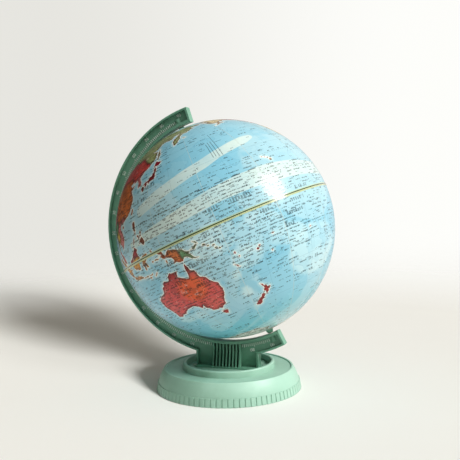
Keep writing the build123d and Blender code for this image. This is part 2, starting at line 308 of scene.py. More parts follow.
def map_print():
    """Printed gores under varnish. The mesh carries the inks; the fine print is worked out here."""
    varnish = {"Coat_Weight": 0.32, "Coat_Roughness": 0.13, "Coat_IOR": 1.5}
    s = Shader("map_print", 0.27, Specular_IOR_Level=0.2, **varnish)
    longitude, latitude, line = s.split(s.attribute("geo", "Vector"))
    land = s.attribute("land")
    sea = s.math("SUBTRACT", 1.0, land)
    density = s.attribute("label")
    tone = s.attribute("ink", "Color")
    # Depth tints of the sea, in three steps with a fine contour between them.
    depth = s.noise(15.0, 4.0, distortion=0.4)
    for level, share in ((0.46, 0.16), (0.56, 0.20), (0.65, 0.24)):
        deeper = s.step(level, level + 0.004, depth)
        tone = s.mix(s.product(deeper, sea, share), tone, srgb(110, 186, 214))
        contour = s.inside(level - 0.0022, level + 0.0022, depth)
        tone = s.mix(s.product(contour, sea, 0.35), tone, srgb(96, 160, 190))
    # Pale bands with a crisp side, streaked inside.
    inside_band = s.step(-0.12, 0.18, s.attribute("band"))
    streak = s.math("MULTIPLY_ADD", s.noise(26.0, 3.0), 0.9, 0.2)
    tone = s.mix(s.product(inside_band, sea, streak), tone, srgb(226, 238, 228))
    cloud = s.step(0.50, 0.53, s.noise(11.0, 3.0, distortion=0.8))
    tone = s.mix(s.product(cloud, sea, 0.24), tone, srgb(220, 240, 242))
    # Pale shelf and white edge round the coasts.
    shelf = s.math("SUBTRACT", 1.0, s.step(0.9, 1.8, line))
    tone = s.mix(s.product(shelf, sea, 0.35), tone, srgb(206, 234, 238))
    edge = s.math("SUBTRACT", 1.0, s.step(0.34, 0.52, line))
    tone = s.mix(s.product(edge, sea, 0.85), tone, srgb(244, 246, 238))
    # Land tints deepen towards the borders and are mottled like a screen print.
    wobble = s.math("MULTIPLY_ADD", s.noise(120.0, 2.0), 0.9, -0.45)
    rim = s.math("SUBTRACT", 1.0, s.step(0.25, 1.1, s.math("ADD", line, wobble)))
    dark = s.mix(0.75, tone, (0.10, 0.008, 0.015))
    tone = s.mix(s.product(rim, land, 0.85), tone, dark)
    relief = s.step(0.50, 0.60, s.noise(140.0, 4.0, distortion=1.2))
    tone = s.mix(s.product(relief, land, 0.55), tone, s.mix(0.5, tone, (0.10, 0.03, 0.02)))
    light = s.step(0.60, 0.70, s.noise(230.0, 3.0))
    tone = s.mix(s.product(light, land, 0.35), tone, (0.88, 0.72, 0.66))
    # Graticule every fifteen degrees, tropics and polar circles dashed.
    for value, pitch in ((longitude, 15.0), (latitude, 15.0)):
        away = s.math("PINGPONG", value, pitch / 2)
        near = s.math("LESS_THAN", away, 0.085)
        tone = s.mix(s.math("MULTIPLY", near, 0.35), tone, srgb(84, 132, 150))
    circle = s.math("ABSOLUTE", latitude)
    dash = s.math("LESS_THAN", s.math("FRACT", s.math("MULTIPLY", longitude, 0.55)), 0.55)
    for value in (23.45, 66.55):
        near = s.math("COMPARE", circle, value, 0.11)
        tone = s.mix(s.product(near, dash, 0.55), tone, srgb(60, 86, 96))
    # Fine print.
    print_ink = s.mix(land, srgb(18, 44, 58), srgb(34, 12, 16))
    sway = s.math("MULTIPLY_ADD", s.noise(9.0, 1.0), 5.0, latitude)
    small = label_rows(s, longitude, sway, density, 1.75, 6.5, 0.50, 3.0)
    tone = s.mix(s.math("MULTIPLY", small, 0.92), tone, print_ink)
    sparse = s.math("MULTIPLY", density, 0.75)
    smaller = label_rows(s, longitude, s.math("ADD", sway, 0.7), sparse, 1.3, 4.2, 0.38, 23.0)
    tone = s.mix(s.math("MULTIPLY", smaller, 0.8), tone, print_ink)
    rare = s.math("MULTIPLY", density, 0.30)
    large = label_rows(s, longitude, latitude, rare, 5.0, 17.0, 1.35, 11.0)
    tone = s.mix(s.math("MULTIPLY", large, 0.55), tone, print_ink)
    cells = s.node("TexVoronoi", {"Vector": s.place(), "Scale": 150.0})
    present = s.math("LESS_THAN", s.split(cells.outputs["Color"])[0], s.math("MULTIPLY", density, 0.8))
    dots = s.math("MULTIPLY", s.math("LESS_THAN", cells.outputs["Distance"], 0.085), present)
    tone = s.mix(s.math("MULTIPLY", dots, 0.9), tone, print_ink)
    for meridian, south, north in MERIDIAN_STROKES:
        stroke = s.product(s.math("COMPARE", longitude, meridian, 0.17), s.inside(south, north, latitude))
        tone = s.mix(s.math("MULTIPLY", stroke, 0.75), tone, srgb(34, 52, 60))
    for parallel, west, east, pitch in PARALLEL_DASHES:
        on = s.math("LESS_THAN", s.math("FRACT", s.math("DIVIDE", longitude, pitch)), 0.5)
        dashes = s.product(s.math("COMPARE", latitude, parallel, 0.24), s.inside(west, east, longitude), on)
        tone = s.mix(s.math("MULTIPLY", dashes, 0.8), tone, srgb(34, 52, 60))
    # Butt joints of the gores show as pale hairlines, and the varnish has yellowed a little.
    seam = s.math("PINGPONG", s.math("ADD", longitude, GORE_START), GORE_WIDTH / 2)
    faint = s.math("MULTIPLY_ADD", land, -0.45, 0.6)
    tone = s.mix(s.math("MULTIPLY", s.math("LESS_THAN", seam, 0.14), faint), tone, srgb(214, 226, 220))
    age = s.step(0.42, 0.72, s.noise(11.0, 3.0))
    tone = s.mix(s.math("MULTIPLY", age, 0.10), tone, srgb(226, 214, 170))
    s.colour(tone)
    s.roughness(s.math("ADD", 0.20, s.math("MULTIPLY", s.noise(36.0, 3.0), 0.14)))
    fibres = s.math("MULTIPLY_ADD", s.noise(1500.0, 2.0), 0.25, s.noise(95.0, 2.0))
    s.bump(fibres, 0.00006, 0.5)
    return s.material


# ---------------------------------------------------------------- the map: outlines
# (longitude, latitude) in degrees. Only the corners that a coast needs are listed; detail between
# them comes from rough_line().
GORES = 12
GORE_WIDTH = 30.0
GORE_START = 15.0
FIRST_LONGITUDE = -165.0
SPIN = radians(-238.8)

INKS = {
    "olive": srgb(158, 172, 118),
    "orange": srgb(214, 124, 70),
    "red": srgb(212, 84, 80),
    "yellow": srgb(232, 200, 104),
    "green": srgb(104, 166, 122),
    "pink": srgb(226, 140, 142),
    "tan": srgb(232, 214, 162),
    "lilac": srgb(184, 162, 196),
    "gold": srgb(222, 160, 58),
    "crimson": srgb(166, 44, 60),
    "brown": srgb(146, 88, 76),
    "white": srgb(236, 240, 236),
}

OLD_WORLD = [
    (190.1, 66.1), (187, 64.5), (181, 65.2), (177.5, 64.7), (179.3, 62.6), (174.5, 61.8), (170.3, 60),
    (166.2, 60.2), (163.3, 58.5), (162.6, 56.1), (160, 53.2), (156.7, 51), (155.6, 55), (156.8, 57.8),
    (161, 60.6), (163.5, 62.5), (160.2, 61.8), (156, 61.4), (154.8, 59.3), (151, 59.1), (143.5, 59.3),
    (137.5, 54.8), (135.2, 54.7), (138.5, 53.7), (141.3, 53), (140.4, 50.5), (140.3, 48.3), (135.2, 43.9),
    (132, 43.1), (130.7, 42.3), (127.6, 39.8), (129.4, 37), (129.2, 35.2), (126.5, 34.4), (126.6, 37),
    (124.9, 39.7), (121.3, 38.8), (122.1, 40.5), (119, 39.2), (117.7, 38.8), (119.1, 37.2), (122.5, 37.3),
    (119.4, 35.2), (120.6, 33.3), (121.9, 31.2), (121.8, 29), (119.5, 25.5), (116.8, 23.3), (113.8, 22.3),
    (110.4, 21.2), (109.8, 20.4), (108.2, 21.6), (106.6, 20.2), (105.8, 18.9), (108.3, 16), (109.3, 13),
    (107, 10.5), (104.9, 8.7), (104.9, 10.3), (102.8, 11.8), (100.9, 13.4), (99.9, 12), (99.3, 9.4),
    (100.5, 7.2), (102.3, 6.2), (103.4, 4.3), (104.2, 1.4), (101.6, 2.6), (100.4, 5.3), (98.4, 8),
    (98.6, 11.8), (97.8, 15), (97.6, 16.7), (95.4, 15.9), (94.3, 16), (94, 19), (91.9, 22), (90.2, 22),
    (88, 21.7), (86.9, 20.6), (85.2, 19.6), (82.3, 16.6), (80.2, 15.5), (80.3, 13.2), (79.8, 10.3),
    (78.2, 8.9), (77.5, 8.1), (76.3, 9.9), (74.8, 13), (73.4, 16.5), (72.8, 19.3), (72.7, 21.3),
    (70.8, 20.8), (69, 22.3), (68.3, 23.7), (66.7, 25.1), (61.6, 25.2), (57.4, 25.7), (56.5, 27.1),
    (54, 26.6), (51.5, 27.9), (50, 30.2), (48, 30), (48.5, 28.3), (50.2, 26.5), (51.3, 25.9), (51.5, 24.3),
    (54.3, 24.3), (56.3, 26.2), (56.8, 24.3), (59.8, 22.5), (57.8, 19), (55.1, 17.1), (52.2, 15.6),
    (48.7, 14), (45, 12.8), (43.4, 12.7), (42.8, 15.8), (42.5, 16.8), (39.1, 21.3), (37.2, 24.5),
    (35.1, 28.1), (34.9, 29.5), (34.2, 27.8), (32.6, 29.9), (33.6, 27.9), (34.5, 26), (35.6, 23.9),
    (37.2, 21), (37.5, 18.8), (39.7, 15.1), (43, 12.6), (43.2, 11.5), (44.5, 10.4), (51.2, 11.8),
    (49.8, 8), (47.9, 4.4), (43.9, 0.9), (40.5, -2.6), (39.2, -4.7), (39.5, -7), (40.6, -10.5),
    (40.7, -15), (37, -17.7), (34.9, -19.9), (35.5, -22.2), (35.5, -24), (32.8, -25.8), (32.5, -28.3),
    (30.9, -30.2), (28, -32.9), (25.6, -34), (20, -34.8), (18.4, -34.1), (18, -32), (15.2, -27),
    (14.5, -22.5), (12, -17.5), (11.8, -16), (13.7, -11.5), (13.2, -9), (12.2, -5.8), (9.5, -2.5),
    (8.8, -0.7), (9.6, 1.8), (9.7, 4), (8.5, 4.7), (6, 4.3), (4.5, 6.3), (1.2, 6), (-2, 4.8), (-4.5, 5.2),
    (-7.6, 4.4), (-11, 6.6), (-13.2, 8.8), (-15, 11.2), (-16.8, 13), (-17.4, 14.7), (-16.3, 17.8),
    (-17, 21), (-16, 23.8), (-13.2, 27.7), (-9.8, 29.6), (-9.7, 31.5), (-6.8, 34), (-5.9, 35.8),
    (-2.2, 35.1), (1.2, 36.5), (5.5, 36.8), (9.8, 37.3), (11, 36.9), (10.2, 34.3), (11.2, 33.2),
    (15.2, 32.3), (15.8, 31.4), (19, 30.3), (20.1, 32.2), (21.8, 32.9), (25.2, 31.6), (29, 30.9),
    (31, 31.5), (32.3, 31.2), (34.3, 31.3), (35.1, 33.2), (35.8, 35.8), (36.1, 36.7), (34, 36.3),
    (32.4, 36.1), (30.6, 36.8), (27.4, 37), (26.2, 39.3), (27.3, 40.4), (29, 41.1), (26.1, 40.7),
    (24, 40.8), (22.8, 40.4), (23.9, 38.2), (22.9, 36.5), (21.3, 37.5), (20.8, 38.9), (19.4, 41),
    (19, 42.2), (16, 43.5), (13.7, 45), (12.4, 45.3), (12.4, 44), (14, 42.6), (16.1, 41.8), (18.5, 40.1),
    (17, 40.5), (16.6, 38.9), (15.9, 38), (15.6, 40), (14, 41), (12.2, 41.8), (10.3, 43.6), (8.8, 44.4),
    (6.5, 43.1), (3.2, 43.1), (3.2, 41.8), (0.3, 40), (0.2, 38.7), (-0.8, 37.6), (-2.1, 36.7),
    (-5.4, 36), (-6.5, 36.9), (-8.9, 37), (-9.5, 38.7), (-8.8, 41), (-9.2, 43.1), (-4, 43.5),
    (-1.6, 43.4), (-1.2, 46), (-4.6, 48.3), (-1.6, 48.7), (-1.8, 49.7), (0.2, 49.6), (1.7, 50.9),
    (4, 52), (5, 53.2), (8.5, 53.8), (8.2, 57), (10.6, 57.7), (10.5, 55.5), (11, 54.2), (14.3, 53.9),
    (18.5, 54.8), (21, 55.2), (21.5, 57.5), (24.2, 57.2), (23.6, 59.2), (28.2, 59.8), (27, 60.5),
    (23, 59.9), (21.3, 61), (22.3, 63.5), (25.3, 65), (22.2, 65.7), (18, 62), (17.2, 60.7), (18.8, 59.8),
    (16.6, 57.8), (15.8, 56.2), (12.9, 55.5), (11.2, 58.6), (10.5, 59.4), (8, 58.1), (5.3, 59.3),
    (5.2, 62), (9.5, 63.8), (12.5, 65.8), (15.5, 68.5), (20, 70), (25.8, 71.1), (31, 70.3), (33, 69.4),
    (41, 67), (40, 66.2), (34.5, 66.8), (35, 64.3), (38, 64.2), (40.2, 65), (44, 66.3), (46.5, 68),
    (53.5, 68.5), (60, 68.7), (64.5, 69.3), (68.5, 68.3), (66.8, 71), (69, 72.8), (72.8, 72.6),
    (72.5, 69), (73.5, 67.5), (74.5, 70), (75, 72.5), (80.5, 73.5), (86.5, 74.8), (98, 76.3),
    (104.3, 77.7), (113.5, 75.5), (109, 73.8), (113.5, 73.5), (123, 73), (129.5, 71.2), (133, 71.5),
    (140, 72.6), (150, 71.6), (160, 69.7), (170, 69.5), (175, 69.8), (180, 68.9), (185.5, 67.2),
]

NEW_WORLD = [
    (-168.1, 65.6), (-161.5, 66.5), (-166.5, 68.3), (-163, 69.8), (-156.5, 71.3), (-141, 69.6),
    (-134.5, 69.5), (-128, 70.4), (-120, 69.7), (-114, 68.2), (-108, 68.1), (-96, 68.2), (-94.5, 71.8),
    (-92.5, 69.6), (-88, 68.6), (-85.5, 69.6), (-82, 69.6), (-81.3, 67.3), (-86.5, 66.4), (-87.5, 64),
    (-93.5, 61.5), (-94.7, 58.8), (-92.5, 57), (-88, 56.5), (-82.3, 55.1), (-82.2, 52.8), (-79, 51.5),
    (-79.4, 54.5), (-76.8, 56.5), (-78.5, 58.8), (-77.5, 62.4), (-73, 62), (-69.8, 60.9), (-69.5, 59),
    (-65, 60.3), (-62, 57.5), (-60, 55.2), (-55.9, 53), (-58.5, 51.3), (-65, 50.2), (-68.5, 48.8),
    (-64.5, 48.8), (-64.8, 46.5), (-61, 45.8), (-64, 44.4), (-66, 43.6), (-67, 44.9), (-70.5, 43.4),
    (-70, 41.7), (-73.9, 40.6), (-75.5, 37.9), (-75.7, 35.3), (-79, 33.5), (-81.3, 31), (-80.1, 26.5),
    (-80.6, 25.2), (-81.9, 26.5), (-82.8, 28), (-84.2, 30), (-88, 30.4), (-89.3, 29.1), (-94.5, 29.5),
    (-97.2, 27.5), (-97.7, 24), (-97.6, 21.8), (-96.2, 19.2), (-94.2, 18.2), (-91.8, 18.5),
    (-90.4, 21.1), (-87, 21.5), (-87.8, 18.3), (-88.9, 15.9), (-84, 15.8), (-83.3, 14.9), (-83.7, 11.5),
    (-81.8, 9), (-79.6, 9.5), (-77.3, 8.5), (-75.6, 10.6), (-71.8, 12.3), (-71.5, 10.9), (-68.5, 11.2),
    (-64, 10.4), (-61.9, 10.7), (-60, 8.5), (-57.2, 6), (-52, 5), (-50.2, 1.5), (-48.4, -0.8),
    (-44.3, -2.6), (-39.5, -3.1), (-35.3, -5.3), (-34.8, -7.8), (-37.2, -11.2), (-39, -13.5),
    (-39.2, -18), (-41, -22), (-44.5, -23.2), (-48.6, -26.5), (-49, -28.8), (-52.2, -32.5),
    (-54.9, -35), (-58.3, -34.1), (-56.9, -36.5), (-57.8, -38.3), (-62.2, -38.9), (-65, -41),
    (-63.8, -42.6), (-67.3, -45.8), (-65.8, -47.5), (-69, -50.5), (-68.4, -52.4), (-70.5, -53.2),
    (-74, -51.5), (-75.6, -47.5), (-73.2, -42), (-73.6, -38), (-71.6, -33.5), (-71.5, -29), (-70.2, -20),
    (-71.4, -17.4), (-76.2, -13.8), (-79.5, -7.8), (-81.3, -4.7), (-80, -2.6), (-80.9, -1), (-80, 0.8),
    (-77.4, 3.8), (-77.5, 7.2), (-79.5, 8.7), (-80.4, 7.3), (-83, 8.3), (-85.7, 10.3), (-87.6, 12.9),
    (-91.5, 14), (-94.8, 16.2), (-97.8, 15.9), (-101.8, 17.7), (-105.6, 20.2), (-105.8, 22.5),
    (-109.4, 25.7), (-112.2, 28.8), (-114.8, 31.6), (-113.2, 29), (-111.3, 26), (-109.5, 23.1),
    (-112.1, 25), (-115.1, 28), (-117.1, 32.5), (-120.6, 34.6), (-122.4, 37.4), (-124.3, 40.4),
    (-124.1, 44), (-124.6, 48.3), (-122.6, 47.3), (-123, 49), (-127.7, 51.5), (-130.3, 54.7), (-134, 58),
    (-139.5, 59.6), (-146, 60.8), (-151.5, 59.3), (-150.5, 61.2), (-154, 58.6), (-158.5, 56),
    (-164, 54.7), (-160.5, 56), (-157.3, 58.6), (-162, 58.8), (-164.8, 60.8), (-165.5, 62.5),
    (-161, 64), (-161.5, 64.8), (-166.3, 64.6),
]

AUSTRALIA = [
    (142.5, -10.7), (143.5, -14.3), (145.3, -15), (145.9, -16.9), (146.3, -18.9), (148.8, -20.3),
    (149.7, -22.4), (150.9, -23.6), (153.1, -25.3), (153.1, -27.2), (153.6, -28.7), (152.5, -32.3),
    (151, -34.2), (150, -37.3), (147.7, -38), (146.4, -39.1), (144.9, -38.1), (143.5, -38.8),
    (140.5, -38), (139.6, -36.2), (138.3, -35.6), (138.2, -34.3), (137.6, -35.2), (137.8, -32.7),
    (136, -34.8), (134.2, -32.8), (131.2, -31.5), (128.6, -31.8), (126, -32.3), (124, -33.2),
    (123.2, -33.9), (120, -33.9), (118, -35), (115.1, -34.4), (115.7, -32), (114.6, -28.8),
    (113.4, -26.2), (113.8, -23.5), (114.1, -21.9), (116.8, -20.6), (119, -20), (121.5, -19.2),
    (122.2, -18), (123, -16.6), (124.4, -16.3), (125, -15), (126.6, -14.1), (128.4, -14.9),
    (129.6, -14.9), (130.6, -12.6), (132.6, -11.5), (133, -12), (135.2, -12.2), (136.8, -12.2),
    (136, -13.6), (135.5, -15), (137.5, -16.2), (139.3, -17.4), (140.9, -17.6), (141.6, -15),
    (141.6, -12.6), (142, -11),
]

# Name: ink, or None where the nearest country seed decides, and the outline.
ISLANDS = {
    "tasmania": ("red", [(144.7, -40.8), (148.3, -40.9), (148.2, -42.2), (147.2, -43.5), (145.6, -43)]),
    "south_island": ("red", [
        (172.7, -40.6), (174.2, -41.3), (172.8, -43.2), (173, -43.8), (171.2, -44.4), (170.7, -45.9),
        (169, -46.6), (166.6, -45.9), (168.2, -44.1), (171.2, -42.4), (172.1, -40.9)]),
    "north_island": ("red", [
        (172.7, -34.4), (174.3, -35.3), (175, -36.6), (175.9, -36.6), (176.8, -37.9), (178.5, -37.7),
        (177.9, -39), (176.9, -39.5), (176.9, -40.4), (175.3, -41.6), (174.9, -41.2), (175.1, -40.1),
        (173.8, -39.3), (174.7, -38), (174.5, -36.8), (173.4, -35.5)]),
    "new_guinea": (None, [
        (131, -0.8), (132.8, -0.4), (134.1, -0.9), (134.2, -2.4), (135.2, -3.4), (136.5, -2.2),
        (137.8, -1.5), (141, -2.6), (144.5, -3.8), (145.8, -5.4), (147.8, -6.2), (147, -6.9),
        (148.3, -8.9), (150.8, -10.3), (149, -10.3), (147.2, -9.5), (145.5, -8), (144, -7.7),
        (142.8, -9.2), (141, -9.1), (139.2, -8.1), (138, -8.4), (138.8, -7), (138, -5.6), (135.5, -4.4),
        (133, -4), (132.8, -2.9), (132, -2.8), (133.5, -2.3), (131.9, -1.5)]),
    "new_britain": ("green", [(148.4, -5.7), (150, -5.4), (152.2, -4.2), (151.9, -5.2), (150.6, -6.2)]),
    "new_ireland": ("green", [(150.8, -2.6), (152.4, -3.2), (153.1, -4.6), (152, -3.8)]),
    "new_caledonia": ("crimson", [(164.1, -20.2), (165.8, -21), (167, -22.3), (165.6, -21.8)]),
    "sumatra": ("gold", [
        (95.3, 5.6), (97.5, 5.2), (100.3, 2.9), (103.4, 0.5), (104.4, -1.1), (106, -3.2), (105.8, -5.8),
        (104.6, -5.8), (102.3, -4), (100.4, -1), (98.7, 1.7), (96.3, 3.7)]),
    "java": ("gold", [
        (105.3, -6.8), (106.1, -5.9), (108.6, -6.7), (110.9, -6.4), (112.6, -6.9), (114.5, -7.8),
        (114.4, -8.7), (111, -8.3), (108.3, -7.8), (106.4, -7.4)]),
    "borneo": (None, [
        (109, 1.6), (109.7, 2), (111.3, 2.5), (113, 3.2), (115.1, 5), (116.8, 7), (119.2, 5.3),
        (117.9, 4.1), (118.9, 1), (117.5, 0.9), (116.5, -1.9), (116.2, -3.9), (114.6, -4.1), (113, -3.2),
        (111.7, -3.4), (110.1, -1.5), (109, 0.3)]),
    "sulawesi": ("gold", [
        (119.8, 0.8), (121, 1.3), (124.9, 1.6), (124.4, 0.4), (121, 0.5), (120.1, -0.8), (121.5, -0.9),
        (123.3, -0.9), (121.6, -1.9), (122.3, -3.4), (122.8, -4.6), (121.5, -4.7), (121, -2.8),
        (120.4, -3.2), (120.4, -5.6), (119.5, -5.5), (119.5, -3.5), (118.8, -2.8), (119.5, -1.2)]),
    "halmahera": ("gold", [
        (127.6, 1.8), (128, 2.2), (128.7, 1.2), (128, 0.4), (128.4, -0.8), (127.7, -0.3)]),
    "seram": ("gold", [(128, -3.2), (130.8, -3.1), (130.6, -3.8), (128.4, -3.5)]),
    "timor": ("gold", [(123.5, -10.2), (125.1, -8.8), (127.2, -8.4), (125.2, -9.6)]),
    "flores": ("gold", [(119.9, -8.4), (122.8, -8.1), (122.6, -8.8), (120, -8.9)]),
    "luzon": ("brown", [
        (120.6, 18.5), (122.2, 18.4), (122.1, 16.5), (121.6, 14.3), (124.1, 12.8), (123.2, 13.6),
        (121.8, 13.8), (120.6, 13.9), (120.2, 15), (119.9, 16.4)]),
    "mindanao": ("brown", [
        (122, 7), (123.5, 8.7), (125.5, 9.7), (126.5, 7.5), (125.5, 5.8), (124.2, 6.4), (123.8, 7.7)]),
    "palawan": ("brown", [(117.2, 8.3), (119.5, 11.2), (119.2, 10.3), (117.6, 8.2)]),
    "taiwan": ("orange", [(121, 25.1), (121.9, 25), (120.9, 22), (120.1, 23)]),
    "kyushu": ("crimson", [
        (130, 33.2), (131, 33.9), (131.9, 33.2), (131.4, 31.4), (130.6, 31), (129.9, 32.5)]),
    "shikoku": ("crimson", [(132.4, 33.7), (134.2, 34.3), (134.5, 33.7), (133, 32.8)]),
    "honshu": ("crimson", [
        (130.9, 34.1), (132.8, 35.5), (135.9, 35.7), (136.8, 37.4), (137.3, 36.8), (138.6, 37.4),
        (139.9, 39), (139.9, 40.6), (141.3, 41.4), (142, 39.6), (140.9, 38), (140.8, 35.8), (139.8, 35),
        (138.9, 34.7), (137, 34.6), (135.9, 33.5), (135.1, 34.6), (132.4, 34.3)]),
    "hokkaido": ("crimson", [
        (140, 41.5), (140.5, 43.3), (141.7, 45.4), (143.5, 44.2), (145.3, 44.2), (145.4, 43.2),
        (143.2, 42), (141, 42.4)]),
    "sakhalin": ("olive", [
        (142.2, 46), (141.9, 50), (142.9, 54.3), (143.3, 52), (144.5, 49.2), (143.2, 47.5), (143.4, 46.5)]),
    "great_britain": ("pink", [
        (-5.6, 50.1), (1.3, 51.2), (1.7, 52.7), (0.2, 53.3), (-1.6, 55), (-2, 57.5), (-3.2, 58.6),
        (-5, 58.5), (-5.6, 56.3), (-4.8, 54.8), (-3, 54.2), (-3.2, 53.4), (-4.6, 52.9), (-5.1, 51.8),
        (-3, 51.4)]),
    "ireland": ("green", [(-6.2, 52.3), (-5.6, 54.6), (-7.4, 55.3), (-10, 54.2), (-9.9, 51.8)]),
    "iceland": ("green", [
        (-22.5, 63.9), (-18.8, 63.4), (-14.8, 64.5), (-16, 66.4), (-20.3, 66), (-24.3, 65.6), (-22, 64.9)]),
    "novaya_zemlya": ("olive", [
        (52.5, 71.2), (56.5, 70.7), (58.5, 73.3), (68, 76.8), (60, 76), (55, 73.8)]),
    "madagascar": ("green", [
        (49.3, -12), (50.4, -15.8), (47.9, -22), (47, -25), (44.8, -25.3), (43.5, -22.5), (44.4, -19.8),
        (44.4, -16.5), (46.5, -15.5)]),
    "baffin": ("pink", [
        (-64.5, 63), (-61.5, 66.8), (-68, 70), (-78, 72.8), (-85, 73.7), (-88, 71), (-78.5, 69.8),
        (-72.8, 67), (-74, 64.7), (-67.5, 62.8)]),
    "ellesmere": ("pink", [
        (-62, 82.3), (-75, 79), (-78, 76.6), (-89, 76.5), (-88, 79.5), (-92, 81.3), (-75, 83)]),
    "greenland": ("white", [
        (-43.8, 59.9), (-40.5, 64.5), (-32.5, 68.2), (-22.3, 70.3), (-19.5, 75), (-17.5, 80),
        (-30, 83.5), (-45, 82.3), (-60, 81.8), (-68, 79), (-68.5, 76.2), (-58, 75.5), (-54.5, 71.2),
        (-53.2, 67.5), (-51.8, 64), (-48, 61)]),
    "newfoundland": ("pink", [(-59.2, 47.7), (-53.1, 46.8), (-53, 48.5), (-55.8, 51.5), (-57.8, 49.8)]),
    "cuba": ("red", [
        (-84.8, 21.9), (-82.5, 23.1), (-77.5, 21.8), (-74.2, 20.2), (-77.5, 19.9), (-78, 20.9),
        (-82, 22.4)]),
    "hispaniola": ("yellow", [(-74.4, 18.5), (-73.2, 19.9), (-69.9, 19.7), (-68.4, 18.6), (-71.5, 17.8)]),
    "tierra_del_fuego": ("yellow", [(-68.3, -52.8), (-65.3, -54.8), (-70, -55.2), (-73.5, -53.2)]),
    "antarctica": ("white", [
        (-180, -78.3), (-170, -78.2), (-158, -77.5), (-150, -76.5), (-135, -74.5), (-115, -74), (-102, -73),
        (-90, -72.8), (-75, -73), (-67.5, -69), (-66.5, -66.2), (-57.5, -63.2), (-60.5, -66), (-62, -70),
        (-61, -74.5), (-75, -78), (-60, -80), (-40, -78), (-28, -76), (-15, -72.5), (0, -69.8), (20, -70),
        (38, -69.5), (50, -66.8), (60, -67.3), (70, -69.5), (80, -67.8), (95, -66.5), (110, -66),
        (130, -66),
        (145, -67), (160, -70), (170, -71.8), (165, -75), (167, -78), (180, -78.3), (190, -78.2),
        (202, -77.5), (210, -76.5), (210, -89.9), (-180, -89.9)]),
}

# Small islands as ovals: ink, longitude, latitude and the two half widths in degrees.
ISLETS = [
    ("gold", 126.6, -3.4, 0.6, 0.4), ("gold", 120, -9.8, 0.9, 0.4), ("gold", 118, -8.6, 0.9, 0.35),
    ("gold", 115.9, -8.6, 0.8, 0.3), ("gold", 134.5, -6.2, 0.4, 0.8), ("gold", 106.2, -2.2, 0.8, 0.5),
    ("brown", 125.1, 12, 0.5, 0.7), ("brown", 124.8, 10.8, 0.35, 0.6), ("brown", 122.5, 11, 0.6, 0.5),
    ("brown", 123, 9.9, 0.35, 0.8), ("brown", 123.8, 10.4, 0.2, 0.7), ("brown", 121, 13, 0.4, 0.5),
    ("green", 155.3, -6.2, 0.8, 0.4), ("green", 157, -7.4, 0.6, 0.3), ("green", 159.5, -8.1, 0.7, 0.3),
    ("green", 160.1, -9.6, 0.7, 0.3), ("green", 161.7, -10.5, 0.6, 0.25), ("crimson", 167, -15.3, 0.4, 0.6),
    ("crimson", 168.4, -17.6, 0.3, 0.4), ("crimson", 178, -17.8, 0.7, 0.5),
    ("crimson", 179.2, -16.6, 0.6, 0.3),
    ("crimson", -172.5, -13.7, 0.5, 0.25), ("crimson", -175.2, -21.2, 0.3, 0.3),
    ("red", -149.5, -17.6, 0.4, 0.3),
    ("tan", -155.5, 19.6, 0.7, 0.6), ("tan", -156.5, 20.8, 0.4, 0.3), ("tan", -158, 21.4, 0.35, 0.3),
    ("tan", -159.6, 22, 0.35, 0.3), ("orange", 109.8, 19.1, 0.9, 0.7), ("pink", 80.8, 7.6, 0.8, 1.2),
    ("tan", -153.5, 57.3, 0.9, 0.6), ("tan", 166, 54.9, 0.7, 0.3), ("yellow", 14, 37.6, 1.3, 0.6),
    ("orange", 9, 40, 0.6, 1.1), ("green", 9.1, 42.2, 0.4, 0.7), ("pink", 24.9, 35.2, 1.2, 0.3),
    ("yellow", 33.2, 35.1, 0.9, 0.4), ("green", 17, 78.8, 6, 1.2), ("pink", -110, 71, 7, 2),
    ("pink", -121, 73, 3.5, 1.3), ("pink", -98, 73, 4, 1.2), ("pink", -100, 76, 6, 0.9),
    ("pink", -126, 49.6, 1.8, 0.8), ("green", -77.3, 18.1, 1, 0.35), ("tan", -66.5, 18.2, 0.9, 0.25),
    ("pink", -59, -51.7, 1.4, 0.5), ("green", -91, -0.5, 0.6, 0.5), ("yellow", -15.6, 28.2, 1.6, 0.4),
    ("pink", 57.5, -20.3, 0.4, 0.4), ("tan", 69.5, -49.3, 0.8, 0.5), ("pink", -78, 26.6, 0.9, 0.5),
]

LAKES = [
    [(28.2, 41.6), (28.6, 43.8), (30.7, 46.4), (33.5, 46), (33.9, 44.5), (35.4, 45.2), (38.5, 46.8),
     (37.5, 44.8), (39.9, 43.4), (41.5, 41.9), (38, 41), (35, 42), (31.3, 41.3)],
    [(49, 46.3), (47.5, 44.8), (47.6, 43), (49.8, 40.5), (49.2, 37.7), (51.5, 36.7), (53.9, 37),
     (53.8, 39.2), (52.8, 41.2), (51, 44.4), (53, 45.4), (53, 46.8), (51, 46.8)],
    [(103.8, 51.6), (107.5, 53.1), (109.9, 55.6), (108.4, 53.2), (105.8, 51.6)],
]
LAKE_OVALS = [
    (60, 45, 1.1, 1.2), (33, -1, 1.2, 1.1), (-87, 44, 0.7, 1.9), (-87.5, 47.7, 2.6, 0.7),
    (-82.5, 44.8, 1, 1.3),
    (-81, 42.2, 1.5, 0.4), (-77.8, 43.6, 1.3, 0.3), (-121, 66, 1.8, 0.8), (-114, 61.8, 2.6, 0.6),
    (-98, 52, 0.6, 1.8), (78, 46.5, 1.8, 0.3), (31.5, 61, 0.9, 0.8), (30, -6.5, 0.3, 1.8),
]

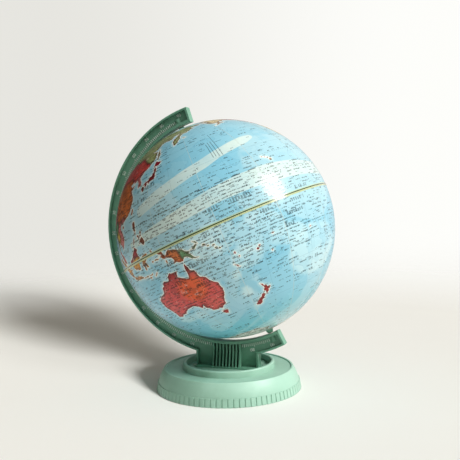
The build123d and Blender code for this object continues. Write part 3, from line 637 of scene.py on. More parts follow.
# Country seeds: ink, longitude, latitude. Land takes the ink of the nearest one.
COUNTRIES = [
    ("olive", 38, 56), ("olive", 50, 58), ("olive", 62, 58), ("olive", 75, 60), ("olive", 90, 60),
    ("olive", 105, 60), ("olive", 120, 60), ("olive", 136, 55), ("olive", 150, 62), ("olive", 165, 65),
    ("olive", 180, 66), ("olive", 158, 55), ("yellow", 60, 49), ("yellow", 71, 48), ("yellow", 79, 46.5),
    ("red", 96, 47.5), ("red", 104, 46.5), ("red", 112, 46.5), ("orange", 85, 38), ("orange", 95, 37),
    ("orange", 105, 37), ("orange", 113, 30), ("orange", 112, 39), ("orange", 118, 28), ("red", 124, 46),
    ("orange", 104, 28), ("pink", 127.5, 37), ("pink", 77, 25), ("pink", 79, 18), ("pink", 77, 12),
    ("pink", 86, 23), ("pink", 93, 26), ("green", 68, 29), ("green", 96, 20), ("green", 98, 14),
    ("yellow", 66, 34), ("tan", 54, 32), ("tan", 59, 30), ("lilac", 60, 40), ("lilac", 70, 40),
    ("green", 44, 33), ("yellow", 45, 24), ("yellow", 50, 20.5), ("red", 47.5, 15.5), ("red", 56.5, 20.5),
    ("pink", 33, 39), ("pink", 40, 39.5), ("orange", 38, 34.5), ("yellow", 101, 15.5), ("pink", 105.5, 18),
    ("pink", 107, 13), ("red", 102, 4), ("lilac", 45, 42), ("yellow", 31, 49), ("green", 28, 53.5),
    ("pink", 19.5, 52), ("tan", 10.5, 51), ("green", 2.5, 47), ("yellow", -4, 40), ("red", -8.4, 39.8),
    ("orange", 12.5, 43.5), ("orange", 16, 40.5), ("lilac", 20, 44), ("orange", 25, 46), ("pink", 22, 39.5),
    ("green", 8.5, 61), ("green", 14.5, 67), ("green", 23, 69.9), ("yellow", 15, 60.5),
    ("yellow", 18, 64.5),
    ("pink", 26.5, 63.5), ("tan", 25, 57), ("red", 16, 48), ("red", -6, 32), ("tan", -13, 25),
    ("orange", 3, 28), ("orange", 3, 34), ("pink", 9.5, 34.5), ("green", 17, 27), ("yellow", 29, 26.5),
    ("pink", 30, 17), ("pink", 30, 9.5), ("yellow", 39.5, 8.5), ("green", 46, 5), ("green", 49, 9),
    ("tan", 18.5, 15), ("yellow", 9.5, 17.5), ("pink", -3, 18.5), ("yellow", -10.5, 20),
    ("green", -14.5, 14),
    ("orange", -11, 10.5), ("tan", -5.5, 7.5), ("red", -1.2, 8), ("green", -1.5, 12.8), ("green", 8, 9.5),
    ("orange", 12.5, 5), ("lilac", 20.5, 6.8), ("pink", 13, -1), ("tan", 23, -3), ("tan", 24, 1.5),
    ("tan", 26, -9), ("red", 32.5, 1.5), ("pink", 38, 0.5), ("orange", 35, -6), ("red", 18, -12),
    ("yellow", 27, -14.5), ("pink", 36.5, -15.5), ("pink", 34.5, -22), ("green", 29.5, -19.2),
    ("tan", 24, -22.5), ("yellow", 17, -22), ("orange", 23, -30), ("orange", 29, -29), ("tan", -152, 65),
    ("pink", -128, 62), ("pink", -122, 57), ("pink", -110, 57), ("pink", -98, 57), ("pink", -86, 53),
    ("pink", -72, 54), ("pink", -64, 50), ("pink", -66, 46.5), ("pink", -108, 66), ("yellow", -118, 41.5),
    ("yellow", -107, 40.5), ("yellow", -96, 40.5), ("yellow", -84, 38.5), ("yellow", -74, 42.5),
    ("yellow", -101, 35.5), ("yellow", -113, 36.5), ("green", -103, 25), ("green", -111, 29),
    ("green", -92, 17.3), ("red", -90, 15.3), ("yellow", -86.3, 14.6), ("orange", -85, 12.5),
    ("pink", -82, 8.8), ("red", -73.5, 4), ("yellow", -66, 7.5), ("orange", -59, 5), ("tan", -54.5, 4),
    ("tan", -78.5, -1.5), ("orange", -75, -9), ("green", -63, -4), ("green", -52, -6), ("green", -42, -9),
    ("green", -57, -13), ("green", -47, -18), ("green", -53, -27), ("lilac", -65, -17),
    ("yellow", -58.5, -23.3),
    ("pink", -71.5, -24), ("pink", -72.8, -38), ("pink", -74.5, -47), ("tan", -65, -27), ("tan", -64, -36),
    ("tan", -69, -44), ("tan", -69.5, -50), ("red", -56, -33), ("orange", 137.5, -5), ("green", 144.5, -5),
    ("gold", 114, 0), ("crimson", 115.8, 5.2), ("crimson", 112.5, 3.3),
]

# Pale bands printed on the sea: (longitude from 0 to 360, middle latitude, half width).
BANDS = [
    [(128, 21.5, 2.6), (140, 24.5, 3.2), (150, 26.5, 2.9), (160, 28.5, 2.9), (170, 30, 2.9),
     (180, 32.5, 2.6), (190, 34.2, 2.7), (199, 35.4, 2.6), (205, 36.2, 1.6)],
    [(116, 8, 1.8), (140, 9.5, 2.9), (155, 11, 3.3), (170, 12.6, 3.9), (185, 13.2, 4.4), (200, 13, 4.7),
     (215, 11.8, 4.4), (235, 9.5, 3.7), (268, 8, 2.4)],
    [(282, 28, 1.6), (290, 35, 2.2), (310, 41, 2.8), (330, 47, 2.6), (346, 52, 1.8)],
    [(316, 3, 1.6), (330, 4, 2.8), (350, 2.5, 2.2)],
    [(52, -9, 2), (70, -12, 3.2), (92, -13, 2.4)],
]
# Pale ovals: longitude, latitude, two half widths, strength.
OVALS = [
    (214, -29, 23, 14, 0.55), (160, -3, 13, 5, 0.55), (172, -19, 9, 6, 0.5), (196, -17, 12, 5, 0.45),
    (164.5, -36, 3.4, 3.4, 0.6), (163.5, -25.5, 2.6, 2.6, 0.5),
    (172, -30.5, 2.2, 2.0, 0.35), (165.5, -47.5, 2.8, 2.0, 0.4), (182, -11, 15, 10, 0.45),
    (158, -9, 12, 5, 0.45), (125, -37.5, 15, 2.6, 0.5), (78, -32, 16, 10, 0.6), (345, -24, 13, 9, 0.6),
    (318, 31, 11, 7, 0.6), (262, -38, 12, 8, 0.5), (68, 8, 6, 4, 0.4),
]

OCEAN = srgb(152, 206, 224)
PALE_SEA = srgb(214, 240, 242)
EAST_END = FIRST_LONGITUDE + 360.0
GRID_STEP = 1.4
COAST_OFFSET = 0.45
SEAM_STRIP = 0.5
HOLE_LATITUDE = 88.07
PAPER = 0.25 * MM


def scatter(*numbers):
    """A steady number from 0 to 1 for these numbers."""
    value = sin(sum(n * k for n, k in zip(numbers, (12.9898, 78.233, 37.719, 9.151)))) * 43758.5453
    return value - floor(value)


def rough_line(a, b, amplitude, finest):
    """Points from a towards b, without b, the middle of every stretch pushed sideways."""
    size = hypot((b[0] - a[0]) * cos(radians((a[1] + b[1]) / 2)), b[1] - a[1])
    if size < finest:
        return [a]
    first, second = sorted((a, b))
    push = (scatter(*first, *second) - 0.5) * 2 * amplitude
    middle = (
        (a[0] + b[0]) / 2 - (second[1] - first[1]) * push,
        (a[1] + b[1]) / 2 + (second[0] - first[0]) * push,
    )
    return rough_line(a, middle, amplitude, finest) + rough_line(middle, b, amplitude, finest)


def rough_outline(corners, amplitude, finest=0.6):
    points = []
    for a, b in zip(corners, corners[1:] + corners[:1]):
        points += rough_line(a, b, amplitude, finest)
    return points


def oval(longitude, latitude, half_width, half_height):
    stretch = 1 / cos(radians(latitude))
    return [
        (longitude + half_width * min(stretch, 3) * cos(turn), latitude + half_height * sin(turn))
        for turn in (radians(step) for step in range(0, 360, 40))
    ]


def country_cells():
    """(ink, outline) for every seed: the land nearer to it than to any other seed."""
    squeeze = 0.75
    seeds = [
        (ink, (longitude + shift) * squeeze, latitude)
        for ink, longitude, latitude in COUNTRIES
        for shift in (-360, 0, 360)
        if FIRST_LONGITUDE - 40 < longitude + shift < EAST_END + 40
    ]
    cells = []
    for ink, x, y in seeds:
        cell = [(-185 * squeeze, -58), (215 * squeeze, -58), (215 * squeeze, 84), (-185 * squeeze, 84)]
        for _, u, v in sorted(seeds, key=lambda seed: hypot(seed[1] - x, seed[2] - y))[1:40]:
            middle_x, middle_y = (x + u) / 2, (y + v) / 2
            past = [(p[0] - middle_x) * (u - x) + (p[1] - middle_y) * (v - y) for p in cell]
            kept = []
            for index, p in enumerate(cell):
                before, q = past[index - 1], cell[index - 1]
                if (before > 0) != (past[index] > 0):
                    share = before / (before - past[index])
                    kept.append((q[0] + (p[0] - q[0]) * share, q[1] + (p[1] - q[1]) * share))
                if past[index] <= 0:
                    kept.append(p)
            cell = kept
        corners = [(round(p[0] / squeeze, 3), round(p[1], 3)) for p in cell]
        if len(corners) > 2:
            cells.append((ink, rough_outline(corners, 0.09, 1.2)))
    return cells


def map_faces():
    """Every outline of the map as (kind, ink, points), counter-clockwise and inside the map's width."""
    drawn = [("cell", ink, points) for ink, points in country_cells()]
    coasts = [(None, OLD_WORLD, 0.11), (None, NEW_WORLD, 0.13), ("australia", AUSTRALIA, 0.06)]
    coasts += [(ink, corners, 0.11) for ink, corners in ISLANDS.values()]
    for ink, corners, amplitude in coasts:
        for shift in (-360, 0, 360):
            if ink == "white" and corners[-1][1] < -89 and shift:
                continue
            moved = [(x + shift, y) for x, y in corners]
            if max(x for x, _ in moved) > FIRST_LONGITUDE and min(x for x, _ in moved) < EAST_END:
                drawn.append(("land", ink, rough_outline(moved, amplitude)))
    for ink, *place in ISLETS:
        place[0] += 360 * (place[0] < FIRST_LONGITUDE)
        drawn.append(("land", ink, rough_outline(oval(*place), 0.16, 0.4)))
    for corners in LAKES:
        drawn.append(("lake", None, rough_outline(corners, 0.1)))
    for place in LAKE_OVALS:
        drawn.append(("lake", None, rough_outline(oval(*place), 0.12, 0.5)))
    for kind, ink, points in drawn:
        if doubled_area(points) < 0:
            points.reverse()
    return drawn


def unit(longitude, latitude):
    """Direction of a place on an upright globe, for measuring distances between places."""
    level = cos(radians(latitude))
    return Vector((
        level * cos(radians(longitude)), level * sin(radians(longitude)), sin(radians(latitude))
    ))


def direction(longitude, latitude):
    """Direction of a place on this globe, as it stands."""
    turn = radians(longitude) + SPIN
    level = cos(radians(latitude))
    return PRIME * (level * cos(turn)) + EAST * (level * sin(turn)) + NORTH * sin(radians(latitude))


def doubled_area(points):
    return sum(a[0] * b[1] - b[0] * a[1] for a, b in zip(points, (*points[1:], points[0])))


def contains(outline, point):
    """Whether a point is inside an outline, by counting the sides to its right."""
    x, y = point
    odd = False
    for a, b in zip(outline, (*outline[1:], outline[0])):
        if (a[1] > y) != (b[1] > y) and x < a[0] + (b[0] - a[0]) * (y - a[1]) / (b[1] - a[1]):
            odd = not odd
    return odd


def spilt_outlines(drawn, places, triangles, sources):
    """Outlines whose filled triangles don't match their area: a crossing side let the fill out."""
    covered = {}
    for corners, inside in zip(triangles, sources):
        area = abs(doubled_area([places[index] for index in corners]))
        for index in inside:
            covered[index] = covered.get(index, 0.0) + area
    own = [abs(doubled_area(outline)) for _, _, outline in drawn]
    return [i for i, area in enumerate(own) if abs(covered.get(i, 0.0) - area) > 0.1 * area + 0.1]


def triangulate(drawn, points, lines):
    """Constrained triangles over all outlines, as (places, [(corners, (kind, ink))])."""
    vertices = []
    faces = []
    for _, _, outline in drawn:
        faces.append(list(range(len(vertices), len(vertices) + len(outline))))
        vertices += [Vector(point) for point in outline]
    edges = []
    for line in lines:
        start = len(vertices)
        vertices += [Vector(point) for point in line]
        edges += [(index, index + 1) for index in range(start, len(vertices) - 1)]
    vertices += [Vector(point) for point in points]
    places, _, triangles, _, _, sources = delaunay_2d_cdt(vertices, edges, faces, 0, 1e-5, True)
    spilt = spilt_outlines(drawn, places, triangles, sources)
    result = []
    for corners, inside in zip(triangles, sources):
        middle = sum((places[index] for index in corners), Vector((0, 0))) / 3
        kinds = [drawn[index] for index in inside if index not in spilt]
        kinds += [drawn[index] for index in spilt if contains(drawn[index][2], middle)]
        land = [ink for kind, ink, _ in kinds if kind == "land"]
        cell = [ink for kind, ink, _ in kinds if kind == "cell"]
        if not land or any(kind == "lake" for kind, _, _ in kinds):
            result.append((corners, None))
        else:
            result.append((corners, land[0] or (cell[0] if cell else "tan")))
    return places, result


def border_lines(places, triangles):
    """Ends of the edges where the ink changes: coasts and country borders."""
    sides = {}
    for corners, ink in triangles:
        for a, b in zip(corners, (*corners[1:], corners[0])):
            sides.setdefault((min(a, b), max(a, b)), []).append(ink)
    return [(places[a], places[b]) for (a, b), inks in sides.items() if len(set(inks)) > 1]


def along(a, b, spacing):
    """Points from a to b at about this spacing."""
    size = hypot((b[0] - a[0]) * cos(radians((a[1] + b[1]) / 2)), b[1] - a[1])
    count = max(1, int(size / spacing))
    return [(a[0] + (b[0] - a[0]) * k / count, a[1] + (b[1] - a[1]) * k / count) for k in range(count + 1)]


def tree_of(points):
    tree = KDTree(len(points))
    for index, point in enumerate(points):
        tree.insert(unit(*point), index)
    tree.balance()
    return tree


def nearest(tree, longitude, latitude):
    """Distance in degrees to the nearest point of the tree."""
    return degrees(tree.find(unit(longitude, latitude))[2])


def grid_rows():
    """Rows of places over a gore, fewer in each row towards the poles, with one beside each seam."""
    rows = []
    count = 63
    for step in range(-count, count + 1):
        latitude = HOLE_LATITUDE * step / count
        stretch = 1 / cos(radians(latitude))
        parts = max(2, round(GORE_WIDTH / (GRID_STEP * stretch)))
        strip = min(SEAM_STRIP * stretch, GORE_WIDTH / parts / 2)
        inner = [GORE_WIDTH * part / parts for part in range(1, parts)]
        rows.append((latitude, [strip, *inner, GORE_WIDTH - strip]))
    return rows


def band_depth(longitude, latitude):
    """Degrees inside the nearest pale band, negative outside."""
    level = cos(radians(latitude))
    longitude %= 360
    depth = -5.0
    for band in BANDS:
        for (x, y, wide), (u, v, far_wide) in zip(band, band[1:]):
            if abs(latitude - y) > 12 or not x - 8 < longitude < u + 8:
                continue
            run, rise = (u - x) * level, v - y
            share = ((longitude - x) * level * run + (latitude - y) * rise) / (run * run + rise * rise)
            share = min(1.0, max(0.0, share))
            away = hypot((longitude - x) * level - run * share, latitude - y - rise * share)
            depth = max(depth, wide + (far_wide - wide) * share - away)
    return depth


def sea_ink(longitude, latitude):
    tone = OCEAN
    for x, y, half_width, half_height, strength in OVALS:
        away = hypot(((longitude - x + 180) % 360 - 180) / half_width, (latitude - y) / half_height)
        tone = blend(tone, PALE_SEA, strength * (1 - smooth(0.82, 1.0, away)))
    tone = blend(tone, srgb(120, 198, 212), 0.6 * smooth(42, 60, -latitude))
    return blend(tone, srgb(206, 234, 238), smooth(62, 76, abs(latitude)))


def land_ink(ink, longitude, latitude):
    if ink != "australia":
        return INKS[ink]
    middle = 1 - smooth(0.55, 1.0, hypot((longitude - 139) / 10, (latitude + 23) / 9))
    tone = blend(srgb(214, 96, 94), srgb(228, 106, 66), middle)
    return blend(tone, srgb(158, 52, 54), 0.8 * smooth(-18.5, -13, latitude))


def label_density(longitude, latitude, on_land):
    if on_land:
        return 0.85
    longitude %= 360
    if abs(latitude) > 60:
        return 0.2
    if latitude < -42:
        return 0.1
    if 128 < longitude < 205 and -24 < latitude < 18:
        return 0.95
    if 205 < longitude < 240 and -25 < latitude < 16:
        return 0.6
    if 150 < longitude < 235 and latitude > 28:
        return 0.15
    if longitude < 60 or 90 < longitude < 145:
        return 0.5
    return 0.28


def flat_map():
    """The map as triangles in longitude and latitude, with what the print needs at every corner."""
    drawn = map_faces()
    borders = border_lines(*triangulate(drawn, [], []))
    samples = [point for a, b in borders for point in along(a, b, 0.12)]
    coast = tree_of(samples)
    extra = []
    for a, b in borders:
        length = hypot((b[0] - a[0]) * cos(radians(a[1])), b[1] - a[1])
        if length < 0.02 or abs(a[1]) > HOLE_LATITUDE - 1:
            continue
        level = cos(radians((a[1] + b[1]) / 2))
        across = ((a[1] - b[1]) / length, (b[0] - a[0]) * level / length)
        middle = ((a[0] + b[0]) / 2, (a[1] + b[1]) / 2)
        for side in (-COAST_OFFSET, COAST_OFFSET):
            point = (middle[0] + across[0] * side / level, middle[1] + across[1] * side)
            if nearest(coast, *point) > COAST_OFFSET * 0.8:
                extra.append(point)
    rows = grid_rows()
    lines = []
    for gore in range(GORES + 1):
        west = FIRST_LONGITUDE + gore * GORE_WIDTH
        lines.append([(west, latitude) for latitude, _ in rows])
    lines.append([(FIRST_LONGITUDE + k * GORE_WIDTH / 20, 0.0) for k in range(GORES * 20 + 1)])
    for end in (-HOLE_LATITUDE, HOLE_LATITUDE):
        lines.append([(FIRST_LONGITUDE + k * 10.0, end) for k in range(37)])
    for latitude, columns in rows[1:-1]:
        if abs(latitude) < 0.1:
            continue
        for gore in range(GORES):
            for column in columns:
                point = (FIRST_LONGITUDE + gore * GORE_WIDTH + column, latitude)
                if nearest(coast, *point) > 0.6:
                    extra.append(point)
    places, triangles = triangulate(drawn, extra, lines)
    return places, triangles, coast


def shell(name, points, triangles, thickness):
    """Mesh of a thin skin: the outer triangles, the same ones inside, and its rim."""
    count = len(points)
    inner = [CENTRE + (point - CENTRE) * (1 - thickness / (point - CENTRE).length) for point in points]
    faces = [tuple(corners) for corners in triangles]
    sides = {(a, b) for corners in faces for a, b in zip(corners, (*corners[1:], corners[0]))}
    faces += [tuple(index + count for index in reversed(corners)) for corners in triangles]
    faces += [(b, a, a + count, b + count) for a, b in sides if (b, a) not in sides]
    mesh = bpy.data.meshes.new(name)
    mesh.from_pydata([tuple(point) for point in points + inner], [], faces)
    mesh.shade_smooth()
    mesh.set_sharp_from_angle(angle=radians(35))
    return mesh


def add_object(name, mesh, body, material, slot_name, *nodes):
    """Puts a piece in the scene on its body, standing for the named CAD nodes."""
    made = bpy.data.objects.new(name, mesh)
    bpy.context.scene.collection.objects.link(made)
    made.data.materials.append(material)
    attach(made, body)
    if nodes:
        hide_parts(*nodes)
    return made


def print_layers(mesh):
    """The layers that the map print reads. All are made before any is fetched, as adding one moves
    the others."""
    layers = (
        ("geo", "FLOAT_VECTOR", "POINT"), ("band", "FLOAT", "POINT"), ("label", "FLOAT", "POINT"),
        ("ink", "FLOAT_COLOR", "CORNER"), ("land", "FLOAT", "CORNER"),
    )
    for layer in layers:
        mesh.attributes.new(*layer)
    return [mesh.attributes[name] for name, _, _ in layers]


def build_gores(material):
    places, triangles, coast = flat_map()
    away = [nearest(coast, *place) for place in places]
    pieces = {}
    for corners, ink in triangles:
        longitude = sum(places[index][0] for index in corners) / 3
        latitude = sum(places[index][1] for index in corners) / 3
        if not FIRST_LONGITUDE < longitude < EAST_END or abs(latitude) > HOLE_LATITUDE:
            continue
        gore = int((longitude - FIRST_LONGITUDE) // GORE_WIDTH)
        pieces.setdefault(("north" if latitude > 0 else "south", gore), []).append((corners, ink))
    for (half, gore), faces in sorted(pieces.items()):
        west = FIRST_LONGITUDE + gore * GORE_WIDTH
        used = sorted({index for corners, _ in faces for index in corners})
        order = {index: position for position, index in enumerate(used)}
        points = []
        for index in used:
            longitude, latitude = places[index]
            strip = SEAM_STRIP / cos(radians(latitude))
            lift = 0.03 * max(0.0, 1 - (longitude - west) / strip)
            sink = 0.06 * max(0.0, 1 - (west + GORE_WIDTH - longitude) / strip)
            radius = GLOBE_RADIUS + (lift - sink - 0.03) * MM
            points.append(CENTRE + direction(longitude, latitude) * radius)
        outer = [tuple(order[index] for index in corners) for corners, _ in faces]
        name = f"{half}_gore_{gore + 1:02d}"
        mesh = shell(name, points, outer, PAPER)
        geo, band, label, ink_colour, on_land = print_layers(mesh)
        land_points = {index for corners, ink in faces if ink for index in corners}
        sea_colours = {}
        for position, index in enumerate(used):
            longitude, latitude = places[index]
            depth = band_depth(longitude, latitude)
            density = label_density(longitude, latitude, index in land_points)
            sea_colours[position] = sea_ink(longitude, latitude)
            for offset in (0, len(used)):
                geo.data[position + offset].vector = (longitude, latitude, away[index])
                band.data[position + offset].value = depth
                label.data[position + offset].value = density
        for polygon in mesh.polygons:
            if polygon.index < len(faces):
                ink = faces[polygon.index][1]
            elif polygon.index < 2 * len(faces):
                ink = faces[polygon.index - len(faces)][1]
            else:
                ink = "paper"
            for loop in polygon.loop_indices:
                position = mesh.loops[loop].vertex_index % len(used)
                if ink == "paper":
                    tone = srgb(226, 222, 204)
                elif ink:
                    tone = land_ink(ink, *places[used[position]])
                else:
                    tone = sea_colours[position]
                ink_colour.data[loop].color = (*tone, 1)
                on_land.data[loop].value = 1.0 if ink and ink != "paper" else 0.0
        add_object(name, mesh, "globe", material, "map_paper", f"{half}_map")


def build_polar_cap(half, material):
    """Paper washer under the pole boss."""
    side = 1 if half == "north" else -1
    inner_radius, outer_radius, lift = 4.3 * MM, 11 * MM, 0.06 * MM
    points = []
    rings = 6
    around = 72
    for ring in range(rings + 1):
        radius = inner_radius + (outer_radius - inner_radius) * ring / rings
        latitude = side * (90 - degrees(asin(radius / GLOBE_RADIUS)))
        for step in range(around):
            points.append(CENTRE + direction(360 * step / around, latitude) * (GLOBE_RADIUS + lift))
    faces = []
    for ring in range(rings):
        for step in range(around):
            a = ring * around + step
            b = ring * around + (step + 1) % around
            quad = (a, a + around, b + around, b)
            faces.append(quad if side > 0 else quad[::-1])
    mesh = shell(f"{half}_polar_cap", points, faces, 0.055 * MM)
    add_object(f"{half}_polar_cap", mesh, "globe", material, "map_paper", f"{half}_map")


def cap_print():
    """Printed paper of the polar caps: short spokes and a ring on pale paper."""
    s = Shader("cap_print", 0.25, Coat_Weight=0.7, Coat_Roughness=0.16)
    latitude, longitude = globe_latitude(s)
    circle = s.math("ABSOLUTE", latitude)
    paper = s.mix(s.noise(60.0, 3.0), srgb(214, 232, 232), srgb(232, 238, 228))
    away = s.math("PINGPONG", longitude, 7.5)
    spoke = s.product(s.math("LESS_THAN", away, 0.5), s.inside(84.6, 86.6, circle))
    ring = s.math("COMPARE", circle, 84.75, 0.1)
    lines = s.math("MAXIMUM", spoke, ring)
    s.colour(s.mix(s.math("MULTIPLY", lines, 0.7), paper, srgb(40, 80, 96)))
    s.bump(s.noise(900.0), 0.00003, 0.5)
    return s.material


def number_mesh(text, size):
    """Raised figures as a mesh in the XY plane, middle at the origin."""
    curve = bpy.data.curves.new("figures", "FONT")
    curve.body = text
    curve.size = size
    curve.align_x = "CENTER"
    curve.align_y = "CENTER"
    curve.extrude = 0.25 * MM
    curve.bevel_depth = 0.03 * MM
    curve.bevel_resolution = 1
    curve.offset = -0.03 * MM
    curve.resolution_u = 4
    holder = bpy.data.objects.new("figures", curve)
    mesh = bpy.data.meshes.new_from_object(holder)
    bpy.data.objects.remove(holder)
    bpy.data.curves.remove(curve)
    return mesh


def build_scale(name, side, material):
    """Degree ticks and figures moulded on one face of the arm's web; side is -1 for the front."""
    made = bmesh.new()
    comb_half_width = 15.5 * MM
    inner_tick = 118.6 * MM
    middle_of_ticks = 120 * MM
    figure_radius = 125.2 * MM
    figure_size = 4.6 * MM
    figure_shift = 1.4
    level = WEB_FACE + 0.11 * MM
    for step in range(181):
        angle = radians(AXIS_ANGLE + step)
        out = Vector((cos(angle), 0, sin(angle)))
        turn = Vector((sin(angle), 0, -cos(angle))) * -side
        facing = Vector((0, side, 0))
        place = Matrix((turn, out, facing)).transposed().to_4x4()
        if abs(out.x) * middle_of_ticks < comb_half_width:
            continue
        end = (122.6 if step % 10 == 0 else 122.0 if step % 5 == 0 else 121.5) * MM
        add_tick(made, place, inner_tick, end, level)
        latitude = 90 - step
        if latitude % 10 or latitude in (-60, -70):
            continue
        figures = number_mesh(str(abs(latitude)), figure_size)
        shifted = radians(AXIS_ANGLE + step - figure_shift)
        out = Vector((cos(shifted), 0, sin(shifted)))
        turn = Vector((sin(shifted), 0, -cos(shifted))) * -side
        place = Matrix((turn, out, facing)).transposed().to_4x4()
        place.translation = CENTRE + out * figure_radius + facing * level
        figures.transform(place)
        made.from_mesh(figures)
        bpy.data.meshes.remove(figures)
    bmesh.ops.recalc_face_normals(made, faces=made.faces)
    mesh = bpy.data.meshes.new(name)
    made.to_mesh(mesh)
    made.free()
    mesh.shade_smooth()
    mesh.set_sharp_from_angle(angle=radians(30))
    add_object(name, mesh, "stand", material, "green_plastic")


def add_tick(made, place, start, end, level):
    """One raised degree line with drafted sides."""
    foot, top, height = 0.34 * MM, 0.26 * MM, 0.30 * MM
    corners = []
    for half, inset, z in ((foot, 0.0, -0.16 * MM), (top, 0.1 * MM, height)):
        near, far = start + inset, end - inset
        for x, y in ((-half, near), (half, near), (half, far), (-half, far)):
            at = place @ Vector((x, y, z))
            at += CENTRE + (place @ Vector((0, 0, 1))) * level
            corners.append(made.verts.new(at))
    for face in ((3, 2, 1, 0), (4, 5, 6, 7), (0, 1, 5, 4), (1, 2, 6, 5), (2, 3, 7, 6), (3, 0, 4, 7)):
        made.faces.new([corners[index] for index in face])


# ---------------------------------------------------------------- dress the model
# The arm's green takes a deeper painted shade in its recesses.
green = moulded_plastic("green_plastic", srgb(116, 166, 143), srgb(128, 178, 155), 0.42, 0.45)
# The base takes a paler copy of the green: painted light, for the stronger light falling on the base.
lit_copy_base_green = moulded_plastic("lit_copy_base_green", srgb(156, 194, 176), srgb(168, 205, 188), 0.46)
paper_print = map_print()
build_gores(paper_print)
caps = cap_print()
build_polar_cap("north", caps)
build_polar_cap("south", caps)
# Raised ticks and figures are painted much paler than the face they stand on: partly rubbed wear, partly a
# painted highlight for the light they catch.
worn_and_highlit_green = moulded_plastic("worn_and_highlit_green", srgb(234, 245, 239), srgb(242, 249, 246), 0.4, 0.0)
build_scale("latitude_scale_front", -1, worn_and_highlit_green)
build_scale("latitude_scale_back", 1, worn_and_highlit_green)

zinc = brushed_metal("zinc_steel", (0.62, 0.64, 0.66), 0.32)
steel = brushed_metal("steel", (0.56, 0.56, 0.55), 0.26)
iron = cast_iron()
cover_plastic = moulded_plastic("cover_plastic", (0.035, 0.05, 0.045), (0.05, 0.066, 0.06), 0.5)
FINISHES = {
    "base_shell": lit_copy_base_green, "meridian_arm": green, "north_pole_boss": green, "south_pole_boss": green,
    "arm_clamp_plate": zinc, "arm_screws": zinc, "ballast_screws": zinc, "cover_screws": zinc,
    "north_pivot_pin": steel, "south_pivot_pin": steel, "north_boss_flange": green,
    "south_boss_flange": green, "ballast_ring": iron, "base_cover": cover_plastic, "felt_pad": felt(),
    "north_thrust_washer": nylon(), "south_thrust_washer": nylon(), "north_hemisphere": inner_shell(),
    "south_hemisphere": inner_shell(), "joint_hoop": inner_shell(), "equator_tape": equator_print(),
}
for node, finish in FINISHES.items():
    mesh = frame["nodes"][node].data
    mesh.materials.clear()
    mesh.materials.append(finish)


# ---------------------------------------------------------------- floor, world, lights, camera
def studio_floor():
    """Matt pale paper for the floor."""
    s = Shader("studio_floor", 0.9, Specular_IOR_Level=0.1)
    s.colour(s.mix(s.noise(3.0, 4.0), (0.80, 0.80, 0.765), (0.83, 0.83, 0.80)))
    s.bump(s.noise(600.0, 2.0), 0.0001, 0.2)
    # Far away the floor fades into the backdrop colour of the world.
    away = s.node("VectorMath", {0: s.place()}, operation="LENGTH").outputs["Value"]
    clear = s.node("BsdfTransparent")
    fading = s.node("MixShader", {"Fac": s.step(0.45, 2.1, s.math("DIVIDE", 1.0, away))})
    s.tree.links.new(clear.outputs[0], fading.inputs[1])
    s.tree.links.new(s.surface.outputs[0], fading.inputs[2])
    s.tree.links.new(fading.outputs[0], s.tree.nodes["Material Output"].inputs["Surface"])
    return s.material


bm = bmesh.new()
bmesh.ops.create_circle(bm, cap_ends=True, segments=96, radius=9.0)
floor_mesh = bpy.data.meshes.new("studio_floor")
bm.to_mesh(floor_mesh)
bm.free()
floor_mesh.materials.append(studio_floor())
floor_object = bpy.data.objects.new("studio_floor", floor_mesh)
bpy.context.scene.collection.objects.link(floor_object)

scene = bpy.context.scene
scene.view_settings.view_transform = "Standard"
scene.view_settings.look = "Medium High Contrast"
scene.view_settings.exposure = -0.2
world = bpy.data.worlds.new("studio")
world.use_nodes = True
tree = world.node_tree
tree.nodes.clear()


def world_gradient(axis, low, high, start, end):
    """Colour of the surroundings, from start to end along a direction."""
    heading = tree.nodes.new("ShaderNodeTexCoord")
    share = tree.nodes.new("ShaderNodeVectorMath")
    share.operation = "DOT_PRODUCT"
    share.inputs[1].default_value = axis
    tree.links.new(heading.outputs["Generated"], share.inputs[0])
    ramp = tree.nodes.new("ShaderNodeMapRange")
    ramp.interpolation_type = "SMOOTHSTEP"
    ramp.inputs["From Min"].default_value = low
    ramp.inputs["From Max"].default_value = high
    tree.links.new(share.outputs["Value"], ramp.inputs["Value"])
    tint = tree.nodes.new("ShaderNodeMix")
    tint.data_type = "RGBA"
    tint.inputs["A"].default_value = (*start, 1)
    tint.inputs["B"].default_value = (*end, 1)
    tree.links.new(ramp.outputs[0], tint.inputs["Factor"])
    background = tree.nodes.new("ShaderNodeBackground")
    tree.links.new(tint.outputs["Result"], background.inputs["Color"])
    return background


# Camera rays see a pale backdrop, painted darker towards the left as painted shade.
seen = world_gradient((0.948, 0.319, 0.0), -0.24, 0.26, srgb(228, 227, 222), srgb(249, 249, 246))
lighting = world_gradient((0.66, 0.0, 0.75), -0.9, 0.9, (0.012, 0.010, 0.008), (0.36, 0.34, 0.305))
mirrored = world_gradient((0.90, 0.30, 0.30), -0.5, 0.8, (0.05, 0.05, 0.05), (0.95, 0.95, 0.94))
path = tree.nodes.new("ShaderNodeLightPath")
unseen = tree.nodes.new("ShaderNodeMixShader")
either = tree.nodes.new("ShaderNodeMixShader")
output = tree.nodes.new("ShaderNodeOutputWorld")
tree.links.new(path.outputs["Is Glossy Ray"], unseen.inputs[0])
tree.links.new(lighting.outputs[0], unseen.inputs[1])
tree.links.new(mirrored.outputs[0], unseen.inputs[2])
tree.links.new(path.outputs["Is Camera Ray"], either.inputs[0])
tree.links.new(unseen.outputs[0], either.inputs[1])
tree.links.new(seen.outputs[0], either.inputs[2])
tree.links.new(either.outputs[0], output.inputs["Surface"])
scene.world = world


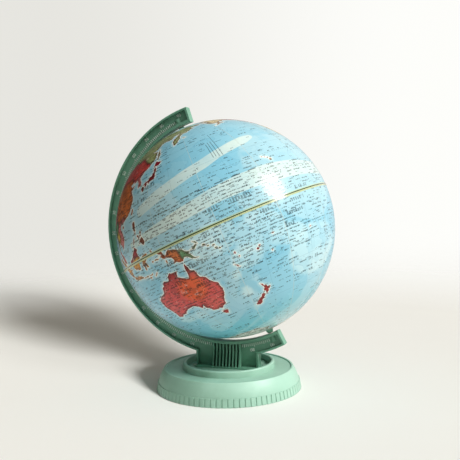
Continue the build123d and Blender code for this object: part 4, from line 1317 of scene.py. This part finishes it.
def sun(name, azimuth, elevation, strength, spread, colour):
    """A soft sun; azimuth is anticlockwise from straight in front of the stand, seen from above."""
    lamp = bpy.data.lights.new(name, "SUN")
    lamp.energy = strength
    lamp.angle = radians(spread)
    lamp.color = colour
    made = bpy.data.objects.new(name, lamp)
    level = cos(radians(elevation))
    side, front = sin(radians(azimuth)) * level, cos(radians(azimuth)) * level
    towards = Vector((side, -front, sin(radians(elevation))))
    made.rotation_mode = "QUATERNION"
    made.rotation_quaternion = towards.to_track_quat("Z", "Y")
    scene.collection.objects.link(made)
    return made


def lights_only(lamp, receivers, state):
    """Links a lamp to some objects, or keeps it off them."""
    group = bpy.data.collections.new(lamp.name + "_" + state.lower())
    for receiver in receivers:
        group.objects.link(receiver)
    for member in group.collection_objects:
        member.light_linking.link_state = state
    lamp.light_linking.receiver_collection = group


# The key keeps off the floor, which takes its long soft shadow from two lower lamps of its own.
key = sun("key_light", 82.0, 38.0, 2.75, 24.0, (1.0, 0.985, 0.955))
lights_only(key, [floor_object], "EXCLUDE")
top = sun("top_fill", 34.0, 58.0, 0.7, 50.0, (1.0, 0.995, 0.98))
top.visible_glossy = False
lights_only(top, [floor_object], "EXCLUDE")
floor_lamps = (("floor_low", 50.5, 13.8, 8.3), ("floor_high", 60.0, 24.0, 0.75))
for lamp_name, lamp_azimuth, lamp_elevation, lamp_strength in floor_lamps:
    low = sun(lamp_name, lamp_azimuth, lamp_elevation, lamp_strength, 13.0, (1.0, 0.99, 0.975))
    lights_only(low, [floor_object], "INCLUDE")

camera = bpy.data.objects.new("camera", bpy.data.cameras.new("camera"))
camera.data.sensor_width = 36.0
camera.data.lens = 56.88
camera.data.shift_x = 0.0098
camera.data.shift_y = -0.0024
camera.data.clip_start = 0.01
azimuth, elevation, distance, roll = radians(18.6), radians(3.85), 0.737, radians(-1.3)
towards = Vector((sin(azimuth) * cos(elevation), -cos(azimuth) * cos(elevation), sin(elevation)))
camera.location = CENTRE + towards * distance
camera.rotation_mode = "QUATERNION"
camera.rotation_quaternion = towards.to_track_quat("Z", "Y") @ Quaternion((0, 0, 1), roll)
scene.collection.objects.link(camera)
scene.camera = camera
